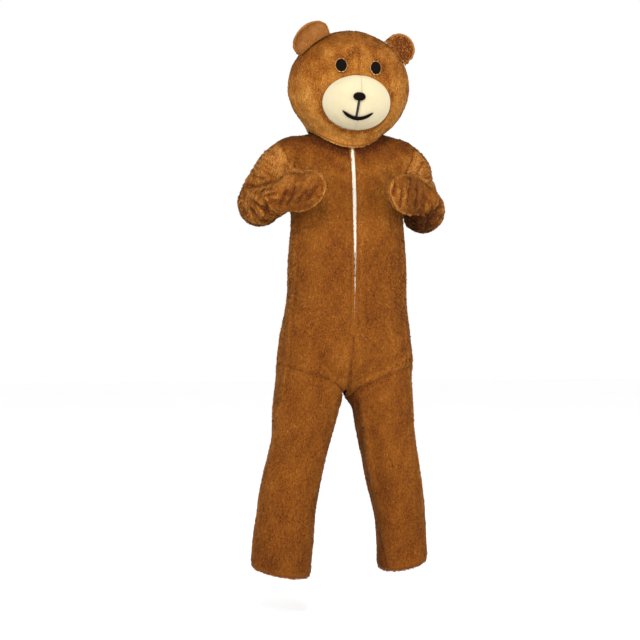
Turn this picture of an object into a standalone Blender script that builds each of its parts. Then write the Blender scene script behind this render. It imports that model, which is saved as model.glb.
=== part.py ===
"""Bear mascot costume: a plush suit with mitts and its head, as worn.

Metres. +Z is up, the wearer faces -Y and the wearer's left is +X. The origin
is the middle of the neck, where the suit rests on the wearer's shoulders.
The outer faces are the tips of the pile.
"""
import math

import bmesh
import bpy
import numpy as np
from mathutils import Vector
from mathutils.bvhtree import BVHTree

GAP = 0.0003        # between two pieces at a seam
WALL = 0.005        # backing cloth and pile together
HEM = 0.008         # the same where the cloth is turned up
ZIP_HALF = 0.0072   # half the slit that the zip fills
RIGHT, LEFT = -1, 1


# ---------------------------------------------------------------- tables
# The body of the suit, ring by ring: height, middle, half width, how far it
# reaches forward and backward of its middle, and how square the ring is.
BODY = [
    # z,     cx,     cy,    half,  front, back,  square
    (0.070, 0.000, 0.012, 0.084, 0.076, 0.062, 2.0),
    (0.040, 0.000, 0.012, 0.090, 0.080, 0.066, 2.0),
    (0.018, 0.000, 0.012, 0.096, 0.083, 0.053, 2.0),
    (0.000, 0.000, 0.011, 0.146, 0.086, 0.076, 2.1),
    (-0.03, 0.000, 0.009, 0.164, 0.094, 0.098, 2.4),
    (-0.07, 0.000, 0.006, 0.168, 0.108, 0.108, 2.5),
    (-0.13, 0.000, 0.004, 0.171, 0.124, 0.116, 2.5),
    (-0.20, 0.000, 0.002, 0.173, 0.134, 0.120, 2.5),
    (-0.30, 0.000, 0.000, 0.179, 0.139, 0.120, 2.4),
    (-0.38, 0.000, 0.000, 0.186, 0.142, 0.120, 2.4),
    (-0.49, -0.001, 0.000, 0.187, 0.144, 0.124, 2.3),
    (-0.55, -0.003, 0.000, 0.193, 0.144, 0.130, 2.3),
    (-0.62, -0.005, 0.000, 0.203, 0.142, 0.138, 2.3),
    (-0.69, -0.008, 0.001, 0.207, 0.134, 0.140, 2.2),
    (-0.73, -0.009, 0.002, 0.195, 0.116, 0.124, 2.1),
    (-0.77, -0.010, 0.004, 0.150, 0.080, 0.088, 2.0),
    (-0.80, -0.010, 0.006, 0.070, 0.040, 0.044, 2.0),
]
# The trouser legs, in the same way.
LEG = {
    RIGHT: [
        # z,    cx,     cy,    half,  front, back,  square
        (-0.60, -0.098, 0.002, 0.098, 0.120, 0.118, 2.2),
        (-0.70, -0.112, 0.002, 0.104, 0.118, 0.118, 2.2),
        (-0.77, -0.121, 0.003, 0.106, 0.114, 0.116, 2.2),
        (-0.85, -0.131, 0.004, 0.104, 0.108, 0.112, 2.2),
        (-0.94, -0.144, 0.006, 0.092, 0.100, 0.106, 2.2),
        (-1.01, -0.164, 0.008, 0.093, 0.096, 0.102, 2.2),
        (-1.09, -0.178, 0.010, 0.093, 0.094, 0.100, 2.2),
        (-1.16, -0.189, 0.012, 0.092, 0.094, 0.098, 2.2),
        (-1.22, -0.196, 0.013, 0.095, 0.095, 0.098, 2.2),
        (-1.30, -0.204, 0.014, 0.096, 0.096, 0.098, 2.2),
        (-1.42, -0.212, 0.014, 0.096, 0.096, 0.098, 2.2),
    ],
    LEFT: [
        (-0.60, 0.083, 0.002, 0.100, 0.120, 0.118, 2.2),
        (-0.70, 0.098, 0.002, 0.102, 0.118, 0.118, 2.2),
        (-0.77, 0.104, 0.003, 0.101, 0.114, 0.116, 2.2),
        (-0.85, 0.114, 0.004, 0.095, 0.108, 0.112, 2.2),
        (-0.94, 0.126, 0.006, 0.091, 0.100, 0.106, 2.2),
        (-1.01, 0.140, 0.008, 0.089, 0.096, 0.102, 2.2),
        (-1.09, 0.154, 0.010, 0.087, 0.093, 0.098, 2.2),
        (-1.16, 0.167, 0.012, 0.081, 0.090, 0.094, 2.2),
        (-1.22, 0.173, 0.013, 0.079, 0.088, 0.092, 2.2),
        (-1.30, 0.177, 0.014, 0.080, 0.088, 0.092, 2.2),
        (-1.42, 0.180, 0.014, 0.080, 0.088, 0.092, 2.2),
    ],
}
# The arms, from the armhole to the wrist: middle, radius, and the way to the
# upper of the two sleeve seams.
ARM = {
    RIGHT: [
        # x,     y,     z,      radius, ux,    uy,    uz
        (-0.166, 0.012, -0.073, 0.081, -0.20, 0.00, 1.00),
        (-0.210, 0.026, -0.103, 0.073, -0.62, 0.00, 0.80),
        (-0.251, 0.058, -0.156, 0.065, -0.85, -0.10, 0.55),
        (-0.272, 0.086, -0.204, 0.064, -0.80, -0.10, 0.62),
        (-0.268, 0.036, -0.213, 0.060, -0.55, -0.05, 0.85),
        (-0.253, -0.030, -0.206, 0.055, -0.30, 0.00, 1.00),
        (-0.226, -0.096, -0.196, 0.052, -0.12, 0.00, 1.00),
    ],
    LEFT: [
        (0.160, 0.012, -0.076, 0.080, 0.20, 0.00, 1.00),
        (0.201, 0.026, -0.101, 0.073, 0.62, 0.00, 0.80),
        (0.233, 0.058, -0.163, 0.063, 0.85, -0.10, 0.55),
        (0.256, 0.086, -0.224, 0.063, 0.80, -0.10, 0.62),
        (0.258, 0.034, -0.231, 0.057, 0.55, -0.05, 0.85),
        (0.248, -0.034, -0.217, 0.052, 0.30, 0.00, 1.00),
        (0.220, -0.104, -0.200, 0.050, 0.12, 0.00, 1.00),
    ],
}
MITT_TIP = {RIGHT: (-0.112, -0.244, -0.168), LEFT: (0.088, -0.240, -0.176)}
MITT_LONG, MITT_WIDE, MITT_THICK = 0.100, 0.064, 0.034
# The seam round the mitt, in the mitt's own plane.
MITT_EDGE_TOP = [
    # along, up
    (0.030, 0.054), (0.048, 0.074), (0.067, 0.086), (0.087, 0.074),
    (0.104, 0.064), (0.138, 0.062), (0.176, 0.048), (0.202, 0.022),
]
MITT_EDGE_LOW = [(0.040, -0.056), (0.085, -0.066), (0.130, -0.064),
                 (0.176, -0.050), (0.202, -0.022)]

# The large folds: ridges from one point to another. A height below nothing is
# a valley.
FOLDS = [
    # x0,    y0,    z0,     x1,    y1,    z1,     width, height
    (0.193, -0.03, -0.688, 0.020, -0.11, -0.770, 0.016, 0.0040),   # groin
    (0.180, -0.05, -0.730, 0.020, -0.10, -0.812, 0.018, -0.0030),
    (-0.050, -0.12, -0.745, -0.010, -0.10, -0.776, 0.014, 0.0035),
    (-0.160, -0.08, -0.700, -0.040, -0.11, -0.780, 0.022, -0.0025),
    (-0.240, -0.05, -0.130, -0.190, -0.06, -0.150, 0.012, 0.0040),
    (-0.290, -0.01, -0.160, -0.215, -0.05, -0.175, 0.012, 0.0045),
    (-0.310, 0.02, -0.185, -0.225, -0.02, -0.225, 0.011, 0.0040),
    (-0.300, 0.00, -0.172, -0.220, -0.05, -0.200, 0.009, -0.0040),
    (-0.235, 0.06, -0.260, -0.225, -0.03, -0.250, 0.012, 0.0035),
    (0.230, -0.05, -0.130, 0.185, -0.06, -0.155, 0.012, 0.0040),
    (0.280, -0.01, -0.165, 0.205, -0.05, -0.180, 0.012, 0.0045),
    (0.300, 0.02, -0.195, 0.215, -0.02, -0.235, 0.011, 0.0040),
    (0.290, 0.00, -0.180, 0.210, -0.05, -0.205, 0.009, -0.0040),
    (0.225, 0.06, -0.272, 0.215, -0.03, -0.262, 0.012, 0.0035),
    (-0.205, -0.08, -0.900, -0.195, -0.08, -1.180, 0.020, -0.0030),
    (-0.170, -0.09, -0.950, -0.215, -0.08, -1.330, 0.022, 0.0030),
    (0.150, -0.08, -0.900, 0.175, -0.08, -1.150, 0.020, -0.0025),
    (0.130, -0.09, -0.960, 0.165, -0.07, -1.330, 0.022, 0.0030),
    (-0.235, 0.02, -1.270, -0.150, -0.07, -1.290, 0.016, 0.0025),
    (0.215, 0.02, -1.250, 0.130, -0.07, -1.270, 0.016, 0.0025),
    (-0.150, 0.10, -0.760, -0.060, 0.12, -0.800, 0.020, 0.0040),   # seat
    (0.140, 0.10, -0.760, 0.050, 0.12, -0.800, 0.020, 0.0040),
    (-0.190, 0.09, -1.000, -0.150, 0.11, -1.030, 0.018, 0.0040),
    (0.170, 0.09, -1.000, 0.130, 0.11, -1.030, 0.018, 0.0040),
    (-0.150, 0.11, -0.520, 0.150, 0.11, -0.500, 0.022, 0.0030),
    (-0.130, 0.11, -0.440, 0.120, 0.11, -0.460, 0.020, -0.0030),
    (-0.060, -0.12, -0.160, -0.085, -0.13, -0.330, 0.020, 0.0025),
    (0.070, -0.12, -0.160, 0.090, -0.13, -0.340, 0.020, 0.0025),
]

HEAD_MIDDLE = (0.001, -0.020, 0.152)
HEAD_HALF = (0.1905, 0.180, 0.176, 0.170)   # across, deep, up, down
HEAD_TUBE = (0.121, 0.114)                 # neck of the head: across, deep
HEAD_NOD, HEAD_LEAN = math.radians(8.0), math.radians(3.0)


# ----------------------------------------------------------------- maths
def spline(table, at):
    """The other columns of a table at `at`, its first column, smoothly."""
    rows = np.array(sorted(table), float)
    x, y = rows[:, 0], rows[:, 1:]
    at = np.clip(np.atleast_1d(np.asarray(at, float)), x[0], x[-1])
    step = np.diff(x)[:, None]
    slope = np.diff(y, axis=0) / step
    tangent = np.vstack([slope[:1], (slope[:-1] + slope[1:]) / 2, slope[-1:]])
    i = np.clip(np.searchsorted(x, at) - 1, 0, len(x) - 2)
    s = ((at - x[i]) / step[i, 0])[:, None]
    return ((2 * s**3 - 3 * s**2 + 1) * y[i] + (s**3 - 2 * s**2 + s) * step[i] * tangent[i]
            + (3 * s**2 - 2 * s**3) * y[i + 1] + (s**3 - s**2) * step[i] * tangent[i + 1])


def through(points, count):
    """count + 1 evenly spaced points on a smooth line through some points."""
    points = np.array(points, float)
    length = np.concatenate([[0], np.cumsum(np.linalg.norm(np.diff(points, axis=0), axis=1))])
    table = [(t, *p) for t, p in zip(length, points)]
    fine = spline(table, np.linspace(0, length[-1], 400))
    run = np.concatenate([[0], np.cumsum(np.linalg.norm(np.diff(fine, axis=0), axis=1))])
    at = np.linspace(0, run[-1], count + 1)
    return np.stack([np.interp(at, run, fine[:, k]) for k in range(3)], axis=1)


def unit(v):
    v = np.asarray(v, float)
    return v / np.maximum(np.linalg.norm(v, axis=-1, keepdims=True), 1e-12)


def smooth_min(a, b, k):
    h = np.clip(0.5 + 0.5 * (b - a) / k, 0, 1)
    return b + (a - b) * h - k * h * (1 - h)


def rings(p, table):
    """Signed distance, nearly, from a stack of rings."""
    row = spline(table, p[:, 2])
    dx, dy = p[:, 0] - row[:, 0], p[:, 1] - row[:, 1]
    deep = np.where(dy < 0, row[:, 3], row[:, 4])
    n = row[:, 5]
    q = ((np.abs(dx) / row[:, 2])**n + (np.abs(dy) / deep)**n)**(1 / n)
    flat = np.hypot(dx, dy) * (1 - 1 / np.maximum(q, 1e-6))
    heights = [r[0] for r in table]
    over = np.maximum(p[:, 2] - max(heights), 0) + np.maximum(min(heights) - p[:, 2], 0)
    return np.where(over > 0, np.hypot(np.maximum(flat, 0), over), flat)


def cones(p, stations, k=0.014):
    """Signed distance from a bent tube through stations of point and radius."""
    total = None
    for first, last in zip(stations[:-1], stations[1:]):
        a, b = np.array(first[:3]), np.array(last[:3])
        t = np.clip((p - a) @ (b - a) / ((b - a) @ (b - a)), 0, 1)
        d = np.linalg.norm(p - a - t[:, None] * (b - a), axis=1) \
            - (first[3] + (last[3] - first[3]) * t)
        total = d if total is None else smooth_min(total, d, k)
    return total


def egg(q, half):
    k0 = np.linalg.norm(q / half, axis=1)
    k1 = np.linalg.norm(q / np.square(half), axis=1)
    return k0 * (k0 - 1) / np.maximum(k1, 1e-9)


def mitt_frame(side):
    """Wrist, and the ways along, up and out of the back of the hand."""
    wrist = np.array(ARM[side][-1][:3])
    along = unit(np.array(MITT_TIP[side]) - wrist)
    up = unit(np.array((0, 0, 1.0)) - along * along[2])
    return wrist, along, up, -side * np.cross(along, up)


def mitt(p, side):
    wrist, along, up, out = mitt_frame(side)
    q = p - wrist
    local = np.stack([q @ along, q @ up, q @ out], axis=1)
    palm = egg(local - (0.104, -0.002, 0.0), np.array((MITT_LONG, MITT_WIDE, MITT_THICK)))
    thumb = cones(local, [(0.045, 0.020, -0.004, 0.030), (0.066, 0.062, -0.006, 0.023)])
    return smooth_min(palm, thumb, 0.020)


def suit(p):
    """The whole form of the worn suit."""
    d = rings(p, BODY)
    legs = smooth_min(rings(p, LEG[RIGHT]), rings(p, LEG[LEFT]), 0.012)
    d = smooth_min(d, legs, 0.030)
    for side in (RIGHT, LEFT):
        arm = smooth_min(cones(p, ARM[side]), mitt(p, side), 0.022)
        d = smooth_min(d, arm, hug(p))
    return d


def hug(p):
    """How softly the arms run into the body: less below the armpit."""
    return np.interp(p[:, 2], (-0.210, -0.140), (0.006, 0.030))


def arm_only(side):
    def form(p):
        arm = smooth_min(cones(p, ARM[side]), mitt(p, side), 0.022)
        return smooth_min(rings(p, BODY), arm, hug(p))
    return form


def leg_only(side):
    def form(p):
        return smooth_min(rings(p, BODY), rings(p, LEG[side]), 0.030)
    return form


def head_axes():
    nod, lean = HEAD_NOD, HEAD_LEAN
    turn_x = np.array([[1, 0, 0], [0, math.cos(nod), -math.sin(nod)], [0, math.sin(nod), math.cos(nod)]])
    turn_y = np.array([[math.cos(lean), 0, math.sin(lean)], [0, 1, 0], [-math.sin(lean), 0, math.cos(lean)]])
    return turn_y @ turn_x


def to_head(p):
    return (np.asarray(p, float) - HEAD_MIDDLE) @ head_axes()


def from_head(q):
    return np.asarray(q, float) @ head_axes().T + HEAD_MIDDLE


def head(p):
    q = to_head(p)
    across, deep, up, down = HEAD_HALF
    top = egg(q, np.array((across, deep, up)))
    chin = down + 0.020 * np.clip(-q[:, 1] / 0.14, 0, 1)
    low = egg(q, np.stack([np.full(len(q), across), np.full(len(q), deep), chin], axis=1))
    ball = np.where(q[:, 2] > 0, top, low)
    tube = rings(q, [(-0.30, 0, 0, HEAD_TUBE[0], HEAD_TUBE[1], HEAD_TUBE[1], 2),
                     (-0.05, 0, 0, HEAD_TUBE[0], HEAD_TUBE[1], HEAD_TUBE[1], 2)])
    return smooth_min(ball, tube, 0.016)


def slope(form, p, h=0.0008):
    g = np.empty_like(p)
    for k in range(3):
        step = np.zeros(3)
        step[k] = h
        g[:, k] = (form(p + step) - form(p - step)) / (2 * h)
    return g


def lay(form, p, rounds=10):
    """Move points along the slope of a form until they lie on it."""
    p = np.array(p, float)
    for _ in range(rounds):
        g = slope(form, p)
        g2 = np.maximum((g * g).sum(1), 0.05)
        p = p - g * np.clip(form(p) / g2, -0.04, 0.04)[:, None]
    return p


def folds(p):
    total = np.zeros(len(p))
    for x0, y0, z0, x1, y1, z1, width, height in FOLDS:
        a, b = np.array((x0, y0, z0)), np.array((x1, y1, z1))
        t = np.clip((p - a) @ (b - a) / ((b - a) @ (b - a)), 0, 1)
        d = np.linalg.norm(p - a - t[:, None] * (b - a), axis=1)
        total += height * np.exp(-(d / width)**2)
    return total


# ---------------------------------------------------------------- solids
for thing in list(bpy.data.objects):
    bpy.data.objects.remove(thing)
made = {}


def solid(name, front, back):
    """A closed piece between two grids of the same shape."""
    rows, columns = front.shape[:2]
    grids = (front, back)
    bm = bmesh.new()
    v = [[[bm.verts.new(g[j, i]) for i in range(columns)] for j in range(rows)] for g in grids]
    for j in range(rows - 1):
        for i in range(columns - 1):
            for k in (0, 1):
                a, b, c, d = v[k][j][i], v[k][j][i + 1], v[k][j + 1][i + 1], v[k][j + 1][i]
                if k == 0:
                    one = (a.co - c.co).length_squared <= (b.co - d.co).length_squared
                for tri in (((a, b, c), (a, c, d)) if one else ((a, b, d), (b, c, d))):
                    bm.faces.new(tri if k == 0 else tri[::-1])
    loop = [(0, i) for i in range(columns)] + [(j, columns - 1) for j in range(1, rows)] \
        + [(rows - 1, i) for i in range(columns - 2, -1, -1)] + [(j, 0) for j in range(rows - 2, 0, -1)]
    for (j, i), (m, n) in zip(loop, loop[1:] + loop[:1]):
        a, b, c, d = v[0][j][i], v[1][j][i], v[1][m][n], v[0][m][n]
        # The two pieces at a seam cut their edge faces the same way.
        key = [round(2.0 * w.co.z + 0.7 * w.co.x + 0.4 * w.co.y, 3) for w in (a, d)]
        for tri in (((a, b, c), (a, c, d)) if key[0] < key[1] else ((a, b, d), (b, c, d))):
            bm.faces.new(tri)
    bmesh.ops.recalc_face_normals(bm, faces=bm.faces)
    if bm.calc_volume(signed=True) < 0:
        bmesh.ops.reverse_faces(bm, faces=bm.faces)
    mesh = bpy.data.meshes.new(name)
    bm.to_mesh(mesh)
    bm.free()
    thing = bpy.data.objects.new(name, mesh)
    bpy.context.scene.collection.objects.link(thing)
    made[name] = thing
    return thing


def coons(south, east, north, west):
    nu, nv = len(south), len(west)
    u = np.linspace(0, 1, nu)[None, :, None]
    v = np.linspace(0, 1, nv)[:, None, None]
    return ((1 - v) * south[None] + v * north[None] + (1 - u) * west[:, None] + u * east[:, None]
            - (1 - u) * (1 - v) * south[0] - u * (1 - v) * south[-1]
            - (1 - u) * v * north[0] - u * v * north[-1])


def inset(grid, form):
    """Half the gap of a seam taken off along each edge of a grid."""
    rows, columns = grid.shape[:2]
    moved = grid.copy()
    for edge, into in ((np.s_[0, :], grid[1, :] - grid[0, :]), (np.s_[-1, :], grid[-2, :] - grid[-1, :]),
                       (np.s_[:, 0], grid[:, 1] - grid[:, 0]), (np.s_[:, -1], grid[:, -2] - grid[:, -1])):
        line = grid[edge]
        out = unit(slope(form, line))
        leg = unit(np.cross(out[:-1] + out[1:], np.diff(line, axis=0)))
        leg *= np.sign((leg * (into[:-1] + into[1:])).sum(1))[:, None]
        before, after = np.vstack([leg[:1], leg]), np.vstack([leg, leg[-1:]])
        away = (before + after) / np.maximum(1 + (before * after).sum(1), 0.4)[:, None]
        moved[edge] += away * (GAP / 2 + 0.00001)
    for j, i, m, n in ((0, 0, 1, 1), (0, -1, 1, -2), (-1, 0, -2, 1), (-1, -1, -2, -2)):
        moved[j, i] += 0.00025 * unit(grid[m, n] - grid[j, i])
    return moved


def panel(name, form, south, east, north, west, bulge=(0, 0, 0), wall=None, hem=False, smooth=60, inner=None):
    """A cut piece of the cover, between its four seams, on a form."""
    grid = coons(south, east, north, west)
    rows, columns = grid.shape[:2]
    u = np.linspace(0, 1, columns)[None, :, None]
    grid[1:-1, 1:-1] += (np.sin(np.pi * u) * np.asarray(bulge, float))[:, 1:-1]
    if inner is not None:
        grid[1:-1, 1:-1] = inner[1:-1, 1:-1]
    for _ in range(smooth):
        inner = lay(form, grid[1:-1, 1:-1].reshape(-1, 3), 2)
        grid[1:-1, 1:-1] = inner.reshape(rows - 2, columns - 2, 3)
        grid[1:-1, 1:-1] = (grid[:-2, 1:-1] + grid[2:, 1:-1] + grid[1:-1, :-2] + grid[1:-1, 2:]) / 4
    inner = lay(form, grid[1:-1, 1:-1].reshape(-1, 3), 8)
    grid[1:-1, 1:-1] = inner.reshape(rows - 2, columns - 2, 3)
    out = unit(slope(form, grid.reshape(-1, 3))).reshape(grid.shape)
    rise = folds(grid.reshape(-1, 3)).reshape(rows, columns, 1) if form is not head else 0
    thick = np.full((rows, columns, 1), WALL if wall is None else wall)
    if hem:
        thick[:1] = HEM
        thick[1] = (HEM + WALL) / 2
    outer = inset(grid, form) + out * rise
    return solid(name, outer, outer - out * thick)


def seam(form, points, count):
    return lay(form, through(points, count))


def joined(*lines):
    """Lines end to end, with each shared point once."""
    return np.vstack([lines[0]] + [line[1:] for line in lines[1:]])


# ------------------------------------------------------------- the suit
N_GROIN, N_SIDE, N_ARM, N_SHOULDER, N_NECK = 10, 9, 8, 4, 6
N_LEG, N_SLEEVE, N_MITT = 16, 14, 9
CROTCH = (-0.004, 0.0, -0.792)
ZIP_TOP, ZIP_END = 0.030, -0.585


def neck_point(angle):
    """The upper edge of the collar; angle from the front, towards +X."""
    z = 0.036 - 0.006 * math.cos(angle)
    return (0.090 * math.sin(angle), 0.012 - 0.075 * math.cos(angle), z)


crotch = lay(suit, [CROTCH], 20)[0]
count_v = N_SIDE + N_ARM
# The centre front, from the crotch to the collar: the lower part is a seam,
# the upper part is the slit of the zip.
front_z = np.concatenate([[crotch[2]], np.linspace(-0.755, -0.615, 4), np.linspace(ZIP_END, ZIP_TOP, count_v - 4)])
half = np.where(front_z > ZIP_END - 0.001, ZIP_HALF, 0.0)
middle_x = np.interp(front_z, (-0.79, -0.60, 0.0), (crotch[0], -0.004, 0.0))
centre = {}
for side in (RIGHT, LEFT, 0):
    line = np.stack([middle_x + side * half, np.full(len(front_z), -0.12), front_z], axis=1)
    line[0] = crotch
    for _ in range(30):       # onto the form, each point keeping its x and z
        g = slope(suit, line)
        line[1:, 1] -= np.clip(suit(line)[1:] / np.minimum(g[1:, 1], -0.3), -0.02, 0.02)
    centre[side] = line
back_z = np.concatenate([[crotch[2]], np.linspace(-0.755, 0.042, count_v)])
back = np.stack([np.interp(back_z, (-0.79, 0.0), (crotch[0], 0.0)), np.full(len(back_z), 0.12), back_z], axis=1)
back[0] = crotch
for _ in range(30):
    g = slope(suit, back)
    back[1:, 1] -= np.clip(suit(back)[1:] / np.maximum(g[1:, 1], 0.3), -0.02, 0.02)

for side, word in ((RIGHT, 'right'), (LEFT, 'left')):
    s = side
    hip = lay(suit, [(s * 0.215 - 0.008, 0.010, -0.690)])[0]
    armpit = lay(suit, [(s * 0.188, 0.020, -0.184)])[0]
    tip = lay(suit, [(s * 0.204, 0.014, -0.008)])[0]
    nape = lay(suit, [neck_point(s * math.pi / 2)])[0]

    groin_front = seam(suit, [crotch, (s * 0.040, -0.10, -0.762), (s * 0.100, -0.115, -0.735),
                              (s * 0.165, -0.085, -0.708), hip], N_GROIN)
    groin_back = seam(suit, [crotch, (s * 0.040, 0.10, -0.775), (s * 0.100, 0.118, -0.745),
                             (s * 0.165, 0.090, -0.712), hip], N_GROIN)
    side_seam = seam(suit, [hip, (s * 0.195, 0.008, -0.56), (s * 0.186, 0.008, -0.38),
                            (s * 0.176, 0.014, -0.240), armpit], N_SIDE)
    hole_front = seam(suit, [armpit, (s * 0.176, -0.060, -0.145), (s * 0.180, -0.070, -0.105),
                             (s * 0.198, -0.040, -0.048), tip], N_ARM)
    hole_back = seam(suit, [armpit, (s * 0.176, 0.085, -0.150), (s * 0.178, 0.104, -0.105),
                            (s * 0.198, 0.072, -0.048), tip], N_ARM)
    shoulder = seam(suit, [tip, (s * 0.150, 0.012, 0.008), nape], N_SHOULDER)
    neck_front = [neck_point(a) for a in np.linspace(s * math.pi / 2, s * 0.09, N_NECK + 1)]
    neck_front = lay(suit, neck_front)
    neck_front[0], neck_front[-1] = nape, centre[side][-1]
    neck_back = lay(suit, [neck_point(a) for a in np.linspace(s * math.pi / 2, s * math.pi, N_NECK + 1)])
    neck_back[0], neck_back[-1] = nape, back[-1]

    panel('front_' + word, suit, groin_front, joined(side_seam, hole_front),
          joined(shoulder, neck_front)[::-1], centre[side], (0, -0.05, 0))
    panel('back_' + word, suit, groin_back, joined(side_seam, hole_back),
          joined(shoulder, neck_back)[::-1], back, (0, 0.05, 0))

    # The legs. The hem hangs lower on the inside and in front.
    leg = leg_only(side)
    row = spline(LEG[side], -1.33)[0]

    def hem_point(a):
        """Angle from the outside round the front."""
        z = -1.325 + 0.016 * math.cos(a) - 0.010 * math.sin(a) + (0.006 if s > 0 else -0.008)
        return (row[0] + s * row[2] * math.cos(a), row[1] - row[3] * math.sin(a), z)

    hem_front = lay(leg, [hem_point(a) for a in np.linspace(math.pi, 0, N_GROIN + 1)], 6)
    hem_back = lay(leg, [hem_point(a) for a in np.linspace(-math.pi, 0, N_GROIN + 1)], 6)
    hem_back[0], hem_back[-1] = hem_front[0], hem_front[-1]
    levels = [-0.86, -0.96, -1.06, -1.16, -1.26]
    legs = [spline(LEG[side], z)[0] for z in levels]
    inside = seam(leg, [hem_front[0]] + [(r[0] - s * r[2], r[1], z) for z, r in zip(levels[::-1], legs[::-1])]
                  + [crotch], N_LEG)
    outside = seam(leg, [hem_front[-1]] + [(r[0] + s * r[2], r[1], z) for z, r in zip(levels[::-1], legs[::-1])]
                   + [hip], N_LEG)
    inside[-1], outside[-1] = crotch, hip
    panel('leg_front_' + word, leg, hem_front, outside, groin_front, inside, (0, -0.07, 0), hem=True)
    panel('leg_back_' + word, leg, hem_back, outside, groin_back, inside, (0, 0.07, 0), hem=True)

    # The sleeves.
    arm = arm_only(side)
    stations = np.array(ARM[side])
    run = np.concatenate([[0], np.cumsum(np.linalg.norm(np.diff(stations[:, :3], axis=0), axis=1))])
    axis = [(t, *row) for t, row in zip(run / run[-1], stations)]
    first, last = unit(stations[1, :3] - stations[0, :3]), unit(stations[-1, :3] - stations[-2, :3])
    angles = np.linspace(math.pi, 0, N_ARM + 1)      # from the lower seam to the upper
    near = spline(axis, np.linspace(0, 1, 200))
    halves = {}
    for way, hole in ((1, hole_front), (-1, hole_back)):
        begin = np.array([np.argmin(np.linalg.norm(near[:, :3] - h, axis=1)) for h in hole]) / 199
        sleeve = np.empty((N_SLEEVE + 1, N_ARM + 1, 3))
        for k in range(N_SLEEVE + 1):
            t = begin + (1 - begin) * k / N_SLEEVE
            row = spline(axis, t)
            ahead = unit(first[None] * (1 - t[:, None]) + last[None] * t[:, None])
            up_way = unit(row[:, 4:] - ahead * (row[:, 4:] * ahead).sum(1)[:, None])
            front_way = np.cross(up_way, ahead) * -s
            sleeve[k] = row[:, :3] + row[:, 3:4] * (up_way * np.cos(angles)[:, None]
                                                    + way * front_way * np.sin(angles)[:, None])
        sleeve[1:] = lay(arm, sleeve[1:].reshape(-1, 3), 8).reshape(N_SLEEVE, N_ARM + 1, 3)
        sleeve[0] = hole
        halves[way] = sleeve
    upper, lower = halves[1][:, -1], halves[1][:, 0]
    for line in (upper, lower):       # even out the seams
        for _ in range(8):
            line[1:-1] = lay(arm, (line[:-2] + line[2:] + 2 * line[1:-1]) / 4, 3)
    wrist_in, wrist_out = halves[1][-1], halves[-1][-1]
    wrist_out[0], wrist_out[-1] = lower[-1], upper[-1]
    panel('sleeve_front_' + word, arm, hole_front, upper, wrist_in, lower, inner=halves[1], smooth=12)
    panel('sleeve_back_' + word, arm, hole_back, upper, wrist_out, lower, inner=halves[-1], smooth=12)

    # The mitts.
    wrist, along, up, out = mitt_frame(side)

    def edge(table, start, count):
        return seam(arm, [start] + [wrist + along * a + up * b for a, b in table], count)

    top = edge(MITT_EDGE_TOP, upper[-1], N_MITT)
    low = edge(MITT_EDGE_LOW, lower[-1], N_MITT)
    end = seam(arm, [low[-1], wrist + along * 0.206, top[-1]], N_ARM)
    top[0], low[0], end[0], end[-1] = upper[-1], lower[-1], low[-1], top[-1]
    panel('mitt_palm_' + word, arm, wrist_in, top, end, low, -0.02 * out)
    panel('mitt_back_' + word, arm, wrist_out, top, end, low, 0.02 * out)

# --------------------------------------------------------------- the zip
slit = np.arange(len(front_z))[half > 0]
middle = centre[0][slit]
facing = unit(slope(suit, middle))
rise = folds(middle)[:, None]


def strip(name, left, right, depth, thick, lift=0.0, rows=None):
    """A strip of the zip, between two distances from the middle."""
    pick = np.arange(len(middle)) if rows is None else rows
    grid = np.empty((len(pick), 2, 3))
    for i, x in enumerate((left, right)):
        grid[:, i] = (middle + facing * (rise - depth))[pick]
        grid[:, i, 0] += x
    for row, way in ((0, 1), (-1, -1)):
        grid[row] += unit(grid[row + way] - grid[row]) * lift
    return solid(name, grid, grid - facing[pick][:, None] * thick)


slack = ZIP_HALF - GAP / 2
strip('zip_tape_right', -slack, -0.0027, 0.0022, 0.0012, GAP)
strip('zip_tape_left', 0.0027, slack, 0.0022, 0.0012, GAP)
strip('zip_chain', -0.0024, 0.0024, 0.0014, 0.0022, GAP)


def block(name, size, bevel, at, axes):
    """A box with rounded edges; axes are its own x, y and z in the world."""
    bm = bmesh.new()
    bmesh.ops.create_cube(bm, size=1.0)
    for v in bm.verts:
        v.co = Vector(np.array(v.co) * size)
    bmesh.ops.bevel(bm, geom=bm.edges[:], offset=bevel, segments=1, affect='EDGES')
    for v in bm.verts:
        v.co = Vector(np.array(v.co) @ np.array(axes) + at)
    bmesh.ops.recalc_face_normals(bm, faces=bm.faces)
    mesh = bpy.data.meshes.new(name)
    bm.to_mesh(mesh)
    bm.free()
    thing = bpy.data.objects.new(name, mesh)
    bpy.context.scene.collection.objects.link(thing)
    return thing


# The slider stands near the top of the chain and its tab hangs in front.
pin_z = 0.004
low_end = int(np.argmin(np.abs(middle[:, 2] - pin_z)))
seat = np.array([np.interp(pin_z, middle[:, 2], middle[:, k]) for k in range(3)])
out = unit(np.array([np.interp(pin_z, middle[:, 2], facing[:, k]) for k in range(3)]))
out[0] = 0
out = unit(out)
seat -= out * 0.0015      # the chain lies back in the slit
axes = np.array([(1, 0, 0), out, np.cross((1, 0, 0), out)])   # across, out, up
if axes[2][2] < 0:
    axes[2] *= -1
slider = block('zip_slider', (0.0100, 0.0036, 0.0120), 0.0007, seat + out * 0.0022, axes)
for x in (-0.0040, 0.0040):
    lug = block('lug', (0.0014, 0.0040, 0.0042), 0.0004, seat + out * 0.0054 + axes[2] * 0.002 + (x, 0, 0), axes)
    cut = slider.modifiers.new('lug', 'BOOLEAN')
    cut.operation, cut.solver, cut.object = 'UNION', 'EXACT', lug
    with bpy.context.temp_override(object=slider, active_object=slider):
        bpy.ops.object.modifier_apply(modifier='lug')
    bpy.data.objects.remove(lug)
PIN = seat + out * 0.0056 + axes[2] * 0.002
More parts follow.
